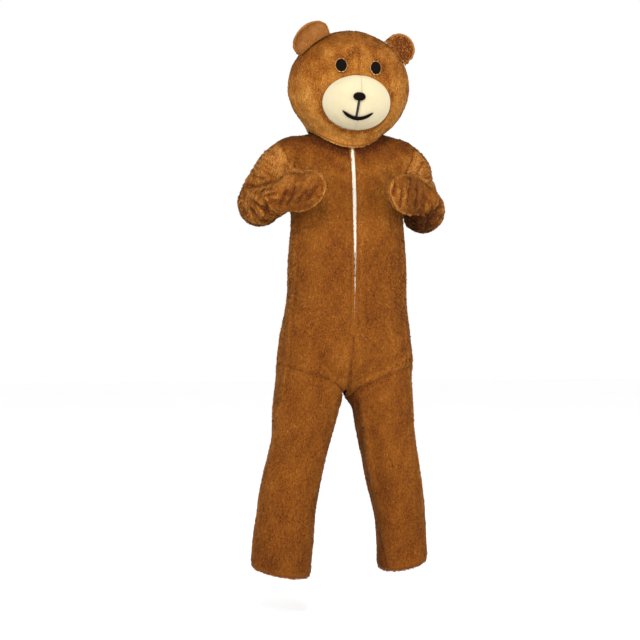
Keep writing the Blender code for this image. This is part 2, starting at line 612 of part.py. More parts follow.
block('zip_pull', (0.0060, 0.0016, 0.0240), 0.0006, PIN - axes[2] * 0.0108, axes)

# -------------------------------------------------------------- the head
N_RIM, N_FACE = 10, 14
HEAD_WALL = 0.006


def rim_point(angle):
    """The lower edge of the head; angle from the front, towards +X."""
    c, deep = math.cos(angle), 0.028 if math.cos(angle) > 0 else 0.009
    z = 0.017 - deep - 0.0047 * c - deep * math.cos(2 * angle)
    flat = np.array((0.121 * math.sin(angle), -0.114 * math.cos(angle), z - HEAD_MIDDLE[2]))
    return np.array(HEAD_MIDDLE) + flat + (0, -flat[2] * math.tan(HEAD_NOD), 0)


def rim(angles):
    """On the head, each point keeping its height."""
    p = np.array([rim_point(a) for a in angles])
    z = p[:, 2].copy()
    for _ in range(12):
        p = lay(head, p, 1)
        p[:, 2] = z
    return p


crown = lay(head, [from_head((0, -0.045, 0.170))])[0]
rims = {0: rim([0.0])[0], 9: rim([math.pi])[0]}
brow = seam(head, [rims[0]] + [from_head(q) for q in (
    (0, -0.120, -0.130), (0, -0.162, -0.070), (0, -0.180, 0.0), (0, -0.160, 0.080), (0, -0.110, 0.140))]
    + [crown], N_FACE)
poll = seam(head, [rims[9]] + [from_head(q) for q in (
    (0, 0.130, -0.120), (0, 0.170, -0.060), (0, 0.180, 0.0), (0, 0.155, 0.085), (0, 0.080, 0.155))]
    + [crown], N_FACE)
brow[0], brow[-1], poll[0], poll[-1] = rims[0], crown, rims[9], crown
for side, word in ((RIGHT, 'right'), (LEFT, 'left')):
    s = side
    low = rim([s * math.pi / 2])[0]
    ear_out = lay(head, [from_head((s * 0.163, -0.048, 0.070))])[0]
    arch = seam(head, [crown, from_head((s * 0.060, -0.054, 0.160)), from_head((s * 0.110, -0.056, 0.130)),
                       ear_out], N_RIM)
    cheek = seam(head, [low] + [from_head(q) for q in (
        (s * 0.132, 0.0, -0.110), (s * 0.176, -0.012, -0.050), (s * 0.186, -0.030, 0.015))] + [ear_out], N_FACE)
    rim_front = rim(np.linspace(0, s * math.pi / 2, N_RIM + 1))
    rim_back = rim(np.linspace(s * math.pi, s * math.pi / 2, N_RIM + 1))
    arch[0], arch[-1], cheek[0], cheek[-1] = crown, ear_out, low, ear_out
    for line, start in ((rim_front, rims[0]), (rim_back, rims[9])):
        line[0], line[-1] = start, low
    panel('face_' + word, head, rim_front, cheek, arch, brow, (0, -0.05, 0), wall=HEAD_WALL)
    panel('nape_' + word, head, rim_back, cheek, arch, poll, (0, 0.05, 0), wall=HEAD_WALL)

bpy.context.view_layer.update()


def surface(names):
    """The outer faces of some pieces, to lay others on."""
    points, faces = [], []
    for name in names:
        mesh = made[name].data
        start = len(points)
        points += [v.co.copy() for v in mesh.vertices]
        faces += [[start + k for k in f.vertices] for f in mesh.polygons]
    return BVHTree.FromPolygons(points, faces)


def on_face(tree, x, z):
    """Where a line from the front, at x and z of the head, meets a surface."""
    start = from_head((x, -0.40, z))
    way = from_head((x, 0.0, z)) - start
    spot, normal, _, _ = tree.ray_cast(Vector(start), Vector(unit(way)))
    return np.array(spot), np.array(normal)


def patch(name, tree, middle, half, columns, rows, clear, height, lean=0.5):
    """A stuffed piece on a surface: an oval, or the half of one.

    columns run across it, rows up it, both from -1 to 1; height gives how far
    it stands out at a radius of 0 to 1.
    """
    back, front = [], []
    forward = head_axes() @ np.array((0, -1.0, 0))
    for eta in rows:
        for xi in columns:
            x = middle[0] + half[0] * xi * math.sqrt(1 - eta * eta)
            z = middle[1] + half[1] * eta
            radius = min(1.0, math.sqrt(xi * xi * (1 - eta * eta) + eta * eta))
            spot, normal = on_face(tree, x, z)
            way = unit(normal * (1 - lean) + forward * lean)
            back.append(spot + normal * clear(radius))
            front.append(spot + normal * clear(radius) + way * height(radius))
    shape = (len(rows), len(columns), 3)
    return solid(name, np.array(front).reshape(shape), np.array(back).reshape(shape))


face = surface(('face_right', 'face_left'))
ROWS = [math.sin(a) for a in np.linspace(-1.40, 1.40, 12)]
ACROSS = (0.0, 0.28, 0.52, 0.72, 0.87, 0.96, 1.0)
for side, word in ((RIGHT, 'right'), (LEFT, 'left')):
    seam_gap = GAP / 2 / 0.102
    columns = [side * max(c, seam_gap) for c in ACROSS]
    patch('muzzle_' + word, face, (0.002, -0.048), (0.103, 0.080), columns, ROWS,
          lambda r: 0.0011 + 0.0012 * (1 - r), lambda r: 0.004 + 0.040 * (1 - r**2.4)**0.62)
snout = surface(('muzzle_right', 'muzzle_left'))
SMALL = [math.sin(a) for a in np.linspace(-1.25, 1.25, 7)]
patch('nose', snout, (-0.003, -0.031), (0.020, 0.0125), SMALL, SMALL,
      lambda r: 0.0007 + 0.0012 * (1 - r), lambda r: 0.0025 + 0.0085 * (1 - r**2)**0.5)
for side, word in ((RIGHT, 'right'), (LEFT, 'left')):
    patch('eye_' + word, face, (side * 0.0515 - 0.002, 0.0575), (0.0175, 0.0195), SMALL, SMALL,
          lambda r: 0.0007, lambda r: 0.0020 + 0.0070 * (1 - r**2)**0.5)

# The mouth: a felt strip along a curve.
back, front = [], []
for row in (-1, 0, 1):
    for t in np.linspace(-1, 1, 13):
        wide = 0.0042 * math.sqrt(max(1 - t**6, 0)) + 0.0012
        spot, normal = on_face(snout, -0.001 + 0.046 * t, -0.094 + 0.020 * t * t + row * wide)
        back.append(spot + normal * 0.0013)
        front.append(spot + normal * (0.0029 if row else 0.0035))
solid('mouth', np.array(front).reshape(3, 13, 3), np.array(back).reshape(3, 13, 3))

# The ears stand on the seam. The right one has dropped forward.
EARS = {
    # side: (inner end, outer end, height, lean forward, lean outward, thickness)
    RIGHT: ((-0.068, -0.058, 0.158), (-0.166, -0.052, 0.066), 0.057, 0.42, 0.0, 0.026),
    LEFT: ((0.078, -0.060, 0.149), (0.164, -0.054, 0.066), 0.043, -0.20, 0.12, 0.020),
}
for side, word in ((RIGHT, 'right'), (LEFT, 'left')):
    inner, outer, size, lean, aside, thick = EARS[side]
    wide = np.linspace(-1, 1, 11)
    base = lay(head, [from_head(np.array(inner) + (np.array(outer) - inner) * (0.5 + 0.43 * u)) for u in wide])
    rise = unit(slope(head, base))
    mid = base[5]
    forward = head_axes() @ np.array((0, -1.0, 0))
    across = unit(base[-1] - base[0])
    stand = unit(rise[5] + lean * forward + aside * across)
    stand = unit(stand - across * (stand @ across))
    facing_ear = np.cross(across, stand)
    facing_ear *= np.sign(facing_ear @ forward)
    top = [mid + stand * size * 0.42 + size * (across * math.sin(1.95 * u) * 1.12 + stand * math.cos(1.95 * u))
           for u in wide]
    bow = 1 - 0.80 * np.abs(wide)**4

    def layer(at_foot, at_top, belly, dish):
        """One face of the ear: its foot stands on the head."""
        foot = lay(head, base + facing_ear * (at_foot * bow + 0.0005)[:, None])
        foot = foot + unit(slope(head, foot)) * 0.0011
        rows = []
        for v in np.linspace(0, 1, 6):
            edge = foot + (np.array(top) + facing_ear * at_top - foot) * v
            full = bow * math.sqrt(max(1 - v**3, 0)) * v**0.5
            rows.append(edge + facing_ear * (belly * full - dish * (1 - wide**2) * 4 * v * (1 - v))[:, None])
        return np.array(rows)

    behind = layer(-thick, -0.0030, -0.0060, 0.010)
    fold = layer(0.0, 0.0, 0.0, 0.010)
    before = layer(0.0014, 0.0008, 0.0, 0.010)
    ahead = layer(0.0060, 0.0024, 0.0040, 0.008)
    solid('ear_back_' + word, fold, behind)
    solid('ear_front_' + word, ahead, before)
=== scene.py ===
"""Bear mascot costume: cloth, pile, face, zip and sewing.

Metres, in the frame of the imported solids: the wearer faces -y, with the right
hand at -x. Each plush piece is a thin backing cloth on the form of its solid,
and the pile that stands on it.
"""

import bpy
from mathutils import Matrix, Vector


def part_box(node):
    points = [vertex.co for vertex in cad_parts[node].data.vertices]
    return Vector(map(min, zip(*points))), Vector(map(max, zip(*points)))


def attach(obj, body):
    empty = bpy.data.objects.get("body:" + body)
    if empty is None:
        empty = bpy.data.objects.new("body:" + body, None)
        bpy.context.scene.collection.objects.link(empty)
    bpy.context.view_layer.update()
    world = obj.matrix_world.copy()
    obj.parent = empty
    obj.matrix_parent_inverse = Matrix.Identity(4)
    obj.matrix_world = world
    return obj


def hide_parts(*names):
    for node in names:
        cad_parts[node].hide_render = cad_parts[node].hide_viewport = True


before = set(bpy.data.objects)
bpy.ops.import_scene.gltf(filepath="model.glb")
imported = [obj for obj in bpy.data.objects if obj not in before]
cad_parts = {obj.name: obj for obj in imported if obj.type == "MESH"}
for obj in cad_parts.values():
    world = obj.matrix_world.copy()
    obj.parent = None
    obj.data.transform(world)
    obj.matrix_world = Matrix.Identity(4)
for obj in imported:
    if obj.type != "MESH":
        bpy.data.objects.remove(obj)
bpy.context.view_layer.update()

import math

import bmesh
import bpy
import numpy as np
from mathutils import Matrix, Vector
from mathutils.bvhtree import BVHTree
from mathutils.kdtree import KDTree

PILE = 0.0036          # from the backing cloth to the tips of the pile
CLOTH = 0.0013         # thickness of the backing cloth
DENSITY = 131000       # locks of pile on a square metre
LOCK_LONG = 0.0085
LOCK_WIDE = 0.0038
ROOTED = 0.0004        # how far a lock starts below the face of the cloth
STITCHED = 0.0052      # from a hem or a rim to its row of stitches
SOLES = -1.49

# ------------------------------------------------------------------ the view
TURN = math.radians(9.0)      # of the view, round to the wearer's right
bpy.ops.object.camera_add(location=(-0.7397, -4.1352, -0.564), rotation=(math.pi / 2, 0, -TURN))
camera = bpy.context.object
camera.data.sensor_width = 36
camera.data.lens = 76.2
camera.data.clip_end = 60
bpy.context.scene.view_settings.view_transform = 'Standard'
bpy.context.scene.camera = camera


# ------------------------------------------------------------------- shaders
class Value:
    """A number or colour in a material. Arithmetic on it adds Math nodes."""

    def __init__(self, finish, socket):
        self.finish, self.socket = finish, socket

    def _math(self, operation, *values):
        return self.finish.node('Math', {'operation': operation}, dict(enumerate(values)))

    def __add__(self, other):
        return self._math('ADD', self, other)

    def __sub__(self, other):
        return self._math('SUBTRACT', self, other)

    def __rsub__(self, other):
        return self._math('SUBTRACT', other, self)

    def __mul__(self, other):
        return self._math('MULTIPLY', self, other)

    def __truediv__(self, other):
        return self._math('DIVIDE', self, other)

    __radd__, __rmul__ = __add__, __mul__

    def clamp(self):
        """Kept from 0 to 1."""
        return self._math('MINIMUM', self._math('MAXIMUM', self, 0.0), 1.0)

    def sine(self):
        """The sine of an angle in radians."""
        return self._math('SINE', self)

    def above(self, level, soft):
        """0 well below a level, 1 well above it."""
        return ((self - level) / soft + 0.5).clamp()


class Finish:
    """A material, built node by node."""

    def __init__(self, name, **constants):
        self.material = bpy.data.materials.new(name)
        self.material.use_nodes = True
        self.tree = self.material.node_tree
        self.shader = self.tree.nodes['Principled BSDF']
        for socket, value in constants.items():
            self.shader.inputs[socket.replace('_', ' ')].default_value = value
        self.object = self.node('TexCoord', {}, {}, 'Object')

    def node(self, kind, settings, inputs, output=0):
        """Any node: its settings are set first, then its sockets."""
        made = self.tree.nodes.new('ShaderNode' + kind)
        for key, value in settings.items():
            setattr(made, key, value)
        for key, value in inputs.items():
            self.give(made.inputs[key], value)
        return Value(self, made.outputs[output])

    def give(self, socket, value):
        """Links a value to a socket, or sets the socket to a number."""
        if isinstance(value, Value):
            self.tree.links.new(value.socket, socket)
        else:
            socket.default_value = value

    def noise(self, size, detail=3.0, rough=0.55, stretch=(1, 1, 1)):
        """A soft mottle of patches about so wide, in metres."""
        place = self.node('Mapping', {}, {0: self.object, 3: stretch})
        return self.node('TexNoise', {}, {'Vector': place, 'Scale': 1 / size,
                                          'Detail': detail, 'Roughness': rough})

    def attribute(self, name):
        """A number that the points of the mesh carry."""
        return self.node('Attribute', {'attribute_name': name}, {}, 'Fac')

    def mix(self, factor, a, b, way='MIX'):
        """From one colour to another."""
        return self.node('Mix', {'data_type': 'RGBA', 'blend_type': way, 'clamp_factor': True},
                         {0: factor, 6: a, 7: b}, 2)

    def base(self, colour):
        """The colour of the surface."""
        self.give(self.shader.inputs['Base Color'], colour)

    def bump(self, height, depth):
        """Fine relief, so deep in metres."""
        bumped = self.node('Bump', {}, {'Height': height, 'Distance': depth, 'Strength': 1.0})
        self.give(self.shader.inputs['Normal'], bumped)


def plush(name, deepest, deep, fair, fairest, blotchy, grain=0.75):
    """The pile: shade painted at its roots, lighter at its tips, mottled all over."""
    finish = Finish(name, Roughness=0.85, Sheen_Weight=0.20, Sheen_Roughness=0.4,
                    Sheen_Tint=(1.0, 0.48, 0.14, 1.0), Specular_IOR_Level=0.08)
    tip, tone = finish.attribute('tip'), finish.attribute('tone')
    blotch = finish.noise(0.060, 3.0)
    streak = finish.noise(0.013, 2.0, stretch=(1, 1, 0.45))
    fleck = finish.noise(0.0058, 2.0)
    level = tone * 0.20 + (blotch - 0.5) * blotchy + (streak - 0.5) * 0.30 + (fleck - 0.5) * grain + 0.5
    pile = finish.mix(level.clamp(), deep, fair)
    pile = finish.mix(((0.1 - level) * 1.3).clamp(), pile, deepest)
    pile = finish.mix(((level - 0.95) * 0.9).clamp(), pile, fairest)
    # Shade painted on the root half of each lock, where the locks shadow each other.
    root = finish.mix(1.0, pile, (0.86, 0.80, 0.75, 1), 'MULTIPLY')
    finish.base(finish.mix(tip.above(0.42, 0.8), root, pile))
    return finish.material


def backing(name, deep, fair):
    """The cloth under the pile, and its clean side within."""
    finish = Finish(name, Roughness=0.92, Specular_IOR_Level=0.15)
    shade = (finish.noise(0.004, 2.0) * 0.6 + finish.noise(0.05, 3.0) * 0.6 - 0.1).clamp()
    finish.base(finish.mix(shade, deep, fair))
    finish.bump(finish.noise(0.0022, 2.0), 0.0012)
    return finish.material


suit_pile = plush('suit pile', (0.058, 0.0125, 0.0015, 1), (0.122, 0.0325, 0.0030, 1),
                  (0.232, 0.0745, 0.0075, 1), (0.440, 0.1900, 0.0430, 1), 0.30, 0.68)
# The head's pile is fairer than the suit's: partly its own smoother pile, partly painted light, as the head
# stands nearer the light.
head_pile = plush('head pile', (0.110, 0.0280, 0.0025, 1), (0.228, 0.0680, 0.0055, 1),
                  (0.410, 0.1830, 0.0340, 1), (0.570, 0.3100, 0.1150, 1), 0.9)
ear_pile = plush('ear pile', (0.070, 0.0170, 0.0025, 1), (0.138, 0.0370, 0.0050, 1),
                 (0.340, 0.1380, 0.0350, 1), (0.500, 0.2600, 0.1100, 1), 0.6, 0.45)
suit_backing = backing('suit backing', (0.120, 0.034, 0.0045, 1), (0.200, 0.064, 0.0090, 1))
head_backing = backing('head backing', (0.200, 0.064, 0.0075, 1), (0.330, 0.130, 0.0240, 1))


def muzzle_fleece():
    """The cream cloth of the muzzle: a fine, close fleece."""
    finish = Finish('muzzle fleece', Roughness=0.88, Sheen_Weight=0.15, Sheen_Roughness=0.5,
                    Specular_IOR_Level=0.15)
    fibre = finish.noise(0.0022, 4.0, 0.7)
    shade = (fibre * 0.8 + finish.noise(0.035, 3.0) * 0.8 - 0.3).clamp()
    finish.base(finish.mix(shade, (0.390, 0.336, 0.208, 1), (0.446, 0.388, 0.250, 1)))
    finish.bump(fibre, 0.0005)
    return finish.material


def felt(name, dark, light):
    """Felted cloth with a dull fibrous face."""
    finish = Finish(name, Roughness=0.95, Specular_IOR_Level=0.03)
    fibre = finish.noise(0.0016, 4.0, 0.75)
    finish.base(finish.mix((fibre * 1.6 - 0.3).clamp(), dark, light))
    finish.bump(fibre, 0.0005)
    return finish.material


def thread(name, colour, dark):
    """Sewing thread, darker between its plies."""
    finish = Finish(name, Roughness=0.6, Specular_IOR_Level=0.4)
    ply = finish.noise(0.0011, 2.0)
    finish.base(finish.mix(ply, dark, colour))
    finish.bump(ply, 0.0003)
    return finish.material


def tape_cloth():
    """Woven zip tape: fine ribs along it, crossed by picks."""
    finish = Finish('zip tape', Roughness=0.8, Specular_IOR_Level=0.25)
    across, down = (finish.node('SeparateXYZ', {}, {0: finish.object}, axis) for axis in 'XZ')
    rib = (across * (2 * math.pi / 0.0011)).sine()
    pick = (down * (2 * math.pi / 0.0009)).sine()
    weave = rib * pick * 0.5 + 0.5
    soil = finish.noise(0.03, 3.0)
    fair = finish.mix(weave, (0.46, 0.40, 0.32, 1), (0.66, 0.59, 0.48, 1))
    finish.base(finish.mix((soil * 0.5).clamp(), fair, (0.48, 0.40, 0.30, 1)))
    finish.bump(weave, 0.0002)
    return finish.material


def teeth_plastic():
    """The moulded teeth, a little soiled."""
    finish = Finish('zip teeth', Roughness=0.38)
    worn = finish.noise(0.006, 3.0)
    finish.base(finish.mix(worn, (0.56, 0.50, 0.41, 1), (0.74, 0.68, 0.58, 1)))
    finish.bump(finish.noise(0.001, 2.0), 0.0001)
    return finish.material


def painted_metal():
    """The slider's paint, rubbed through in small spots."""
    finish = Finish('zip metal')
    worn = finish.noise(0.0016, 4.0, 0.7).above(0.62, 0.12)
    finish.base(finish.mix(worn, (0.80, 0.78, 0.72, 1), (0.42, 0.40, 0.37, 1)))
    finish.give(finish.shader.inputs['Roughness'], worn * 0.2 + 0.28)
    finish.bump(finish.noise(0.0008, 2.0), 0.00008)
    return finish.material


cream_fleece = muzzle_fleece()
black_felt = felt('black felt', (0.0015, 0.0012, 0.0011, 1), (0.0065, 0.0045, 0.0038, 1))
eye_felt = felt('eye felt', (0.0018, 0.0013, 0.0011, 1), (0.0075, 0.0048, 0.0038, 1))
brown_thread = thread('brown thread', (0.120, 0.040, 0.008, 1), (0.060, 0.018, 0.004, 1))
tan_thread = thread('tan thread', (0.74, 0.44, 0.190, 1), (0.50, 0.25, 0.080, 1))
black_thread = thread('black thread', (0.012, 0.010, 0.009, 1), (0.004, 0.0035, 0.0035, 1))
cream_thread = thread('cream thread', (0.66, 0.55, 0.34, 1), (0.42, 0.33, 0.18, 1))
zip_cloth, zip_plastic, zip_paint = tape_cloth(), teeth_plastic(), painted_metal()


# ------------------------------------------------------------------ hand work
def only(*things):
    """Selects these things and nothing else."""
    bpy.ops.object.select_all(action='DESELECT')
    for thing in things:
        thing.select_set(True)
    bpy.context.view_layer.objects.active = things[0]


def apply(thing, kind, **settings):
    """Adds a modifier and applies it."""
    only(thing)
    modifier = thing.modifiers.new(kind.lower(), kind)
    for key, value in settings.items():
        setattr(modifier, key, value)
    bpy.ops.object.modifier_apply(modifier=modifier.name)


def started(primitive, scale=(1, 1, 1), **settings):
    """A primitive at its size and place, with both in its mesh."""
    bpy.ops.object.select_all(action='DESELECT')
    primitive(**settings)
    thing = bpy.context.object
    thing.scale = scale
    bpy.ops.object.transform_apply()
    return thing


def object_of(name, mesh):
    """A new object that holds a mesh."""
    thing = bpy.data.objects.new(name, mesh)
    bpy.context.scene.collection.objects.link(thing)
    return thing


def dress(thing, finish, node=None, body='costume', crisp=None):
    """Gives a piece its finish, shading and body, and hides the solid that it
    stands for. A crisp piece stays sharp at its steeper edges."""
    thing.data.materials.clear()
    thing.data.materials.append(finish)
    only(thing)
    if crisp is None:
        bpy.ops.object.shade_smooth()
    else:
        bpy.ops.object.shade_smooth_by_angle(angle=math.radians(crisp))
    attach(thing, body)
    if node is not None:
        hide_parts(node)
    return thing


def copy_of(node, name):
    """A copy of a solid, its points merged and its faces in fours."""
    thing = object_of(name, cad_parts[node].data.copy())
    thing.data.materials.clear()
    only(thing)
    bpy.ops.object.mode_set(mode='EDIT')
    bpy.ops.mesh.select_all(action='SELECT')
    bpy.ops.mesh.remove_doubles(threshold=0.00002)
    bpy.ops.mesh.tris_convert_to_quads(face_threshold=math.radians(50),
                                       shape_threshold=math.radians(60))
    bpy.ops.object.mode_set(mode='OBJECT')
    return thing


def keep_outside(thing, facing=None):
    """Leaves the outer face of a piece: its largest smooth side, or the one
    of the two largest that looks a given way."""
    turn = math.radians(48)
    bm = bmesh.new()
    bm.from_mesh(thing.data)
    sides, seen = [], set()
    for start in bm.faces:
        if start in seen:
            continue
        side, queue = [], [start]
        seen.add(start)
        while queue:
            face = queue.pop()
            side.append(face)
            for edge in face.edges:
                if len(edge.link_faces) == 2 and edge.calc_face_angle(0) < turn:
                    for other in edge.link_faces:
                        if other not in seen:
                            seen.add(other)
                            queue.append(other)
        sides.append(side)
    sides.sort(key=lambda side: -sum(f.calc_area() for f in side))
    if facing is not None:
        sides[:2] = sorted(sides[:2], key=lambda side: -sum(
            f.calc_area() * f.normal.dot(Vector(facing)) for f in side))
    bmesh.ops.delete(bm, geom=[f for side in sides[1:] for f in side], context='FACES')
    bm.to_mesh(thing.data)
    bm.free()


def points_of(mesh):
    """The places of a mesh's points, a row each."""
    p = np.empty(len(mesh.vertices) * 3)
    mesh.vertices.foreach_get('co', p)
    return p.reshape(-1, 3)


def normals_of(mesh):
    """The way out of a mesh at each of its points."""
    n = np.empty(len(mesh.vertices) * 3)
    mesh.vertex_normals.foreach_get('vector', n)
    return n.reshape(-1, 3)


def move_points(mesh, p):
    """Gives a mesh's points new places."""
    mesh.vertices.foreach_set('co', np.ascontiguousarray(p, dtype=np.float32).ravel())
    mesh.update()


def unit(v):
    """Directions, each made one long."""
    return v / np.maximum(np.linalg.norm(v, axis=-1, keepdims=True), 1e-12)


def ramp(v, start, over):
    """0 up to a start, 1 from a width beyond it."""
    return np.clip((v - start) / over, 0, 1)


def hump(v, wide):
    """1 in the middle, dying away on either side."""
    return np.exp(-(v / wide)**2)


def waves(p, size, seed, stretch=(1, 1, 1)):
    """Smooth unevenness, from about -1 to 1, of about one size."""
    count = 9
    rng = np.random.default_rng(seed)
    way = unit(rng.normal(size=(count, 3))) * (2 * math.pi / size) * rng.uniform(0.7, 1.4, (count, 1))
    turn = rng.uniform(0, 2 * math.pi, count)
    return np.sin((p * stretch) @ way.T + turn).sum(1) / math.sqrt(count) * 0.9


def tree_of(points):
    """A tree that finds the nearest of some points."""
    tree = KDTree(len(points))
    for i, point in enumerate(points):
        tree.insert(point, i)
    tree.balance()
    return tree


def surface_of(mesh):
    """A surface that rays and near points are found on."""
    return BVHTree.FromPolygons([v.co for v in mesh.vertices], [f.vertices for f in mesh.polygons])


def line_of_border(mesh):
    """Points along the open edges of a skin, closely spaced."""
    step = 0.002
    bm = bmesh.new()
    bm.from_mesh(mesh)
    line = []
    for edge in bm.edges:
        if edge.is_boundary:
            a, b = edge.verts[0].co, edge.verts[1].co
            cuts = max(1, round((b - a).length / step))
            line += [a.lerp(b, k / cuts) for k in range(cuts)]
    bm.free()
    return line


def along_edges(mesh):
    """Points along all the edges of a mesh."""
    v = [p.co for p in mesh.vertices]
    return [v[e.vertices[0]].lerp(v[e.vertices[1]], k / 5) for e in mesh.edges for k in range(5)]


def near_border(tree, p):
    """How far each point is from the border, and the way to it."""
    found = [tree.find(Vector(q)) for q in p]
    return np.array([f[2] for f in found]), np.array([f[0] for f in found]) - p


# ------------------------------------------------------------------ the folds
# The middle of each arm, from the armhole to the wrist.
ARM_LINE = {
    'right': ((-0.166, 0.012, -0.073), (-0.251, 0.058, -0.156), (-0.272, 0.086, -0.204),
              (-0.268, 0.036, -0.213), (-0.253, -0.030, -0.206), (-0.226, -0.096, -0.196)),
    'left': ((0.160, 0.012, -0.076), (0.233, 0.058, -0.163), (0.256, 0.086, -0.224),
             (0.258, 0.034, -0.231), (0.248, -0.034, -0.217), (0.220, -0.104, -0.200)),
}
# Small folds on the front, in millimetres, each along a line from one point to
# another. A height below nothing is a valley.
FRONT_FOLDS = {
    'arm_right': (
        # x0, z0, x1, z1, width, height
        (-227, -28, -215, -75, 4.5, 1.8),
        (-241, -45, -226, -68, 4, -2.5),
        (-255, -70, -240, -90, 4.5, -1.5),
        (-297, -112, -268, -131, 4, -3),
        (-311, -140, -290, -150, 4, -2.5),
        (-307, -165, -273, -247, 6, 3),
        (-323, -196, -303, -255, 6, 2.5),
        (-297, -205, -262, -242, 5, -4.5),
        (-268, -212, -266, -236, 5.5, -4.5),
        (-302, -166, -262, -164, 5, 2.5),
        (-290, -175, -254, -170, 3.5, -2.5),
        (-277, -184, -242, -174, 5, 2.2),
        (-272, -190, -240, -184, 3.5, -2.5),
        (-270, -199, -240, -194, 5, 2.2),
        (-255, -208, -236, -206, 4, -2.2),
        (-213, -176, -230, -217, 4.5, -3.4),
        (-193, -172, -209, -220, 4.5, -3.4),
        (-165, -186, -187, -214, 4.5, -3.4),
        (-153, -182, -166, -212, 3.5, -2.2),
        (-136, -172, -156, -210, 4.5, -3),
        (-125, -190, -152, -216, 5, 1.6),
        (-200, -124, -180, -131, 3.5, -3),
    ),
    'arm_left': (
        (236, -72, 206, -115, 4.5, -2.8),
        (222, -66, 196, -100, 4.5, 1.6),
        (266, -112, 244, -124, 4, -2.8),
        (258, -128, 286, -146, 6, 2.6),
        (276, -158, 300, -190, 5, -2.6),
        (294, -236, 276, -272, 5, -2.6),
        (284, -190, 296, -236, 6, 2.4),
        (103, -142, 92, -198, 4.5, -3),
        (127, -144, 119, -226, 4.5, -3.4),
        (156, -140, 145, -214, 4.5, -3.4),
        (181, -160, 179, -230, 4.5, -3.4),
        (205, -172, 210, -234, 4.5, -3),
        (160, -113, 178, -132, 5, 2),
        (177, -121, 250, -130, 4.5, 1.8),
        (230, -200, 243, -232, 4.5, -3.4),
        (243, -232, 229, -254, 4.5, -3.4),
        (263, -220, 243, -252, 4.5, -3),
        (200, -237, 222, -290, 5, -4),
        (226, -246, 246, -284, 5, -3.4),
    ),
    'face_right': (
        (-1, 256, -34, 214, 8, -4),
        (-12, 262, -50, 236, 10, 2.2),
        (-80, 222, -46, 218, 7, -2),
        (-6, 236, -10, 196, 6, 1.8),
        (-120, 120, -108, 60, 10, -1.8),
    ),
    'face_left': (
        (4, 252, 26, 226, 8, -2.2),
        (30, 214, 62, 212, 7, -1.8),
        (10, 240, 12, 196, 6, 1.6),
        (110, 110, 112, 52, 10, -1.8),
    ),
    'body': (
        (-150, -110, -176, -60, 6, -2),
        (150, -110, 172, -64, 8, -0.8),
        (-100, -270, -60, -330, 14, -1.4),
        (110, -300, 70, -360, 14, -1.4),
        (-30, -640, -14, -770, 9, 1.6),
        (20, -650, 6, -770, 9, 1.6),
        (8, -764, 178, -672, 10, 2.2),
        (-60, -744, -16, -766, 8, 1.8),
        # the ridge of pile beside each side seam
        (-168, -300, -181, -500, 4, 1.6),
        (-181, -500, -203, -716, 4, 1.8),
        (-203, -716, -219, -840, 4, 1.8),
        (-219, -840, -256, -1080, 4, 1.6),
        (-160, -300, -173, -500, 3.5, -1.6),
        (-173, -500, -195, -716, 3.5, -2),
        (-195, -716, -211, -840, 3.5, -1.6),
        (158, -270, 160, -530, 4, 1.6),
        (160, -530, 174, -700, 4, 1.8),
        (174, -700, 197, -870, 4, 2),
        (197, -870, 226, -1090, 4, 1.8),
        (150, -270, 152, -530, 3.5, -1.2),
        (152, -530, 166, -700, 3.5, -1.6),
        (166, -700, 189, -870, 3.5, -2),
        (189, -870, 218, -1090, 3.5, -1.6),
    ),
    'leg_front_left': (
        (16, -800, 62, -1060, 5, -4),
        (62, -1060, 118, -1330, 5, -3.6),
        (34, -820, 80, -1080, 7, 1.6),
        (150, -1270, 200, -1290, 9, -1.4),
    ),
}

# Groups of gathered folds on the front of the arms. Straight ones run along a
# line through their middle; ringed ones lie about it.
PLEATS = {
    'right': (
        # x,     z,      turn, half length, half width, apart,  height
        (-0.2615, -0.072, -38, 0.034, 0.050, 0.0165, 0.0022),
        (-0.2680, -0.118, -30, 0.028, 0.020, 0.0100, 0.0015),
        (-0.2670, -0.158, 35, 0.030, 0.018, 0.0095, 0.0022),
        (-0.1640, -0.181, 58, 0.030, 0.058, 0.0175, 0.0022),
    ),
    'left': (
        (0.2460, -0.098, 20, 0.026, 0.024, 0.0100, 0.0014),
        (0.1400, -0.172, 94, 0.034, 0.040, 0.0200, 0.0022),
        (0.2350, -0.205, 104, 0.024, 0.036, 0.0150, 0.0024),
    ),
}
RINGS = {
    # x, z, from radius, to radius, from angle, to angle, apart, height
    'right': (-0.2480, -0.202, 0.018, 0.090, 105, 285, 0.0125, 0.0034),
    'left': (0.2300, -0.195, 0.040, 0.090, 245, 400, 0.0100, 0.0030),
}


def gathered(v, apart):
    """Rounded folds with narrow valleys between them."""
    return 1.55 * np.abs(np.sin(math.pi * v / apart)) - 1.0


def pleat_rise(side, p, n):
    """The gathered folds on the front of one arm."""
    rise = np.zeros(len(p))
    wander = 0.0040 * waves(p, 0.045, 81)
    for x, z, turn, long, wide, apart, height in PLEATS[side]:
        c, s = math.cos(math.radians(turn)), math.sin(math.radians(turn))
        u = (p[:, 0] - x) * c + (p[:, 2] - z) * s
        v = (p[:, 2] - z) * c - (p[:, 0] - x) * s + wander
        rise += height * gathered(v, apart) * np.exp(-(u / long)**4 - (v / wide)**4)      # with flat tops
    x, z, near, far, low, high, apart, height = RINGS[side]
    radius = np.hypot(p[:, 0] - x, p[:, 2] - z) + wander
    angle = (np.degrees(np.arctan2(p[:, 2] - z, p[:, 0] - x)) - low) % 360
    inside = ramp(radius, near, 0.008) * ramp(-radius, -far, 0.008)
    inside *= ramp(angle, 0, 25) * ramp(-angle, low - high, 25)
    rise += height * gathered(radius, apart) * inside
    return rise * np.clip(0.75 + 0.4 * waves(p, 0.050, 82), 0.3, 1.2) * np.clip(-n[:, 1] * 1.6 + 0.5, 0, 1)


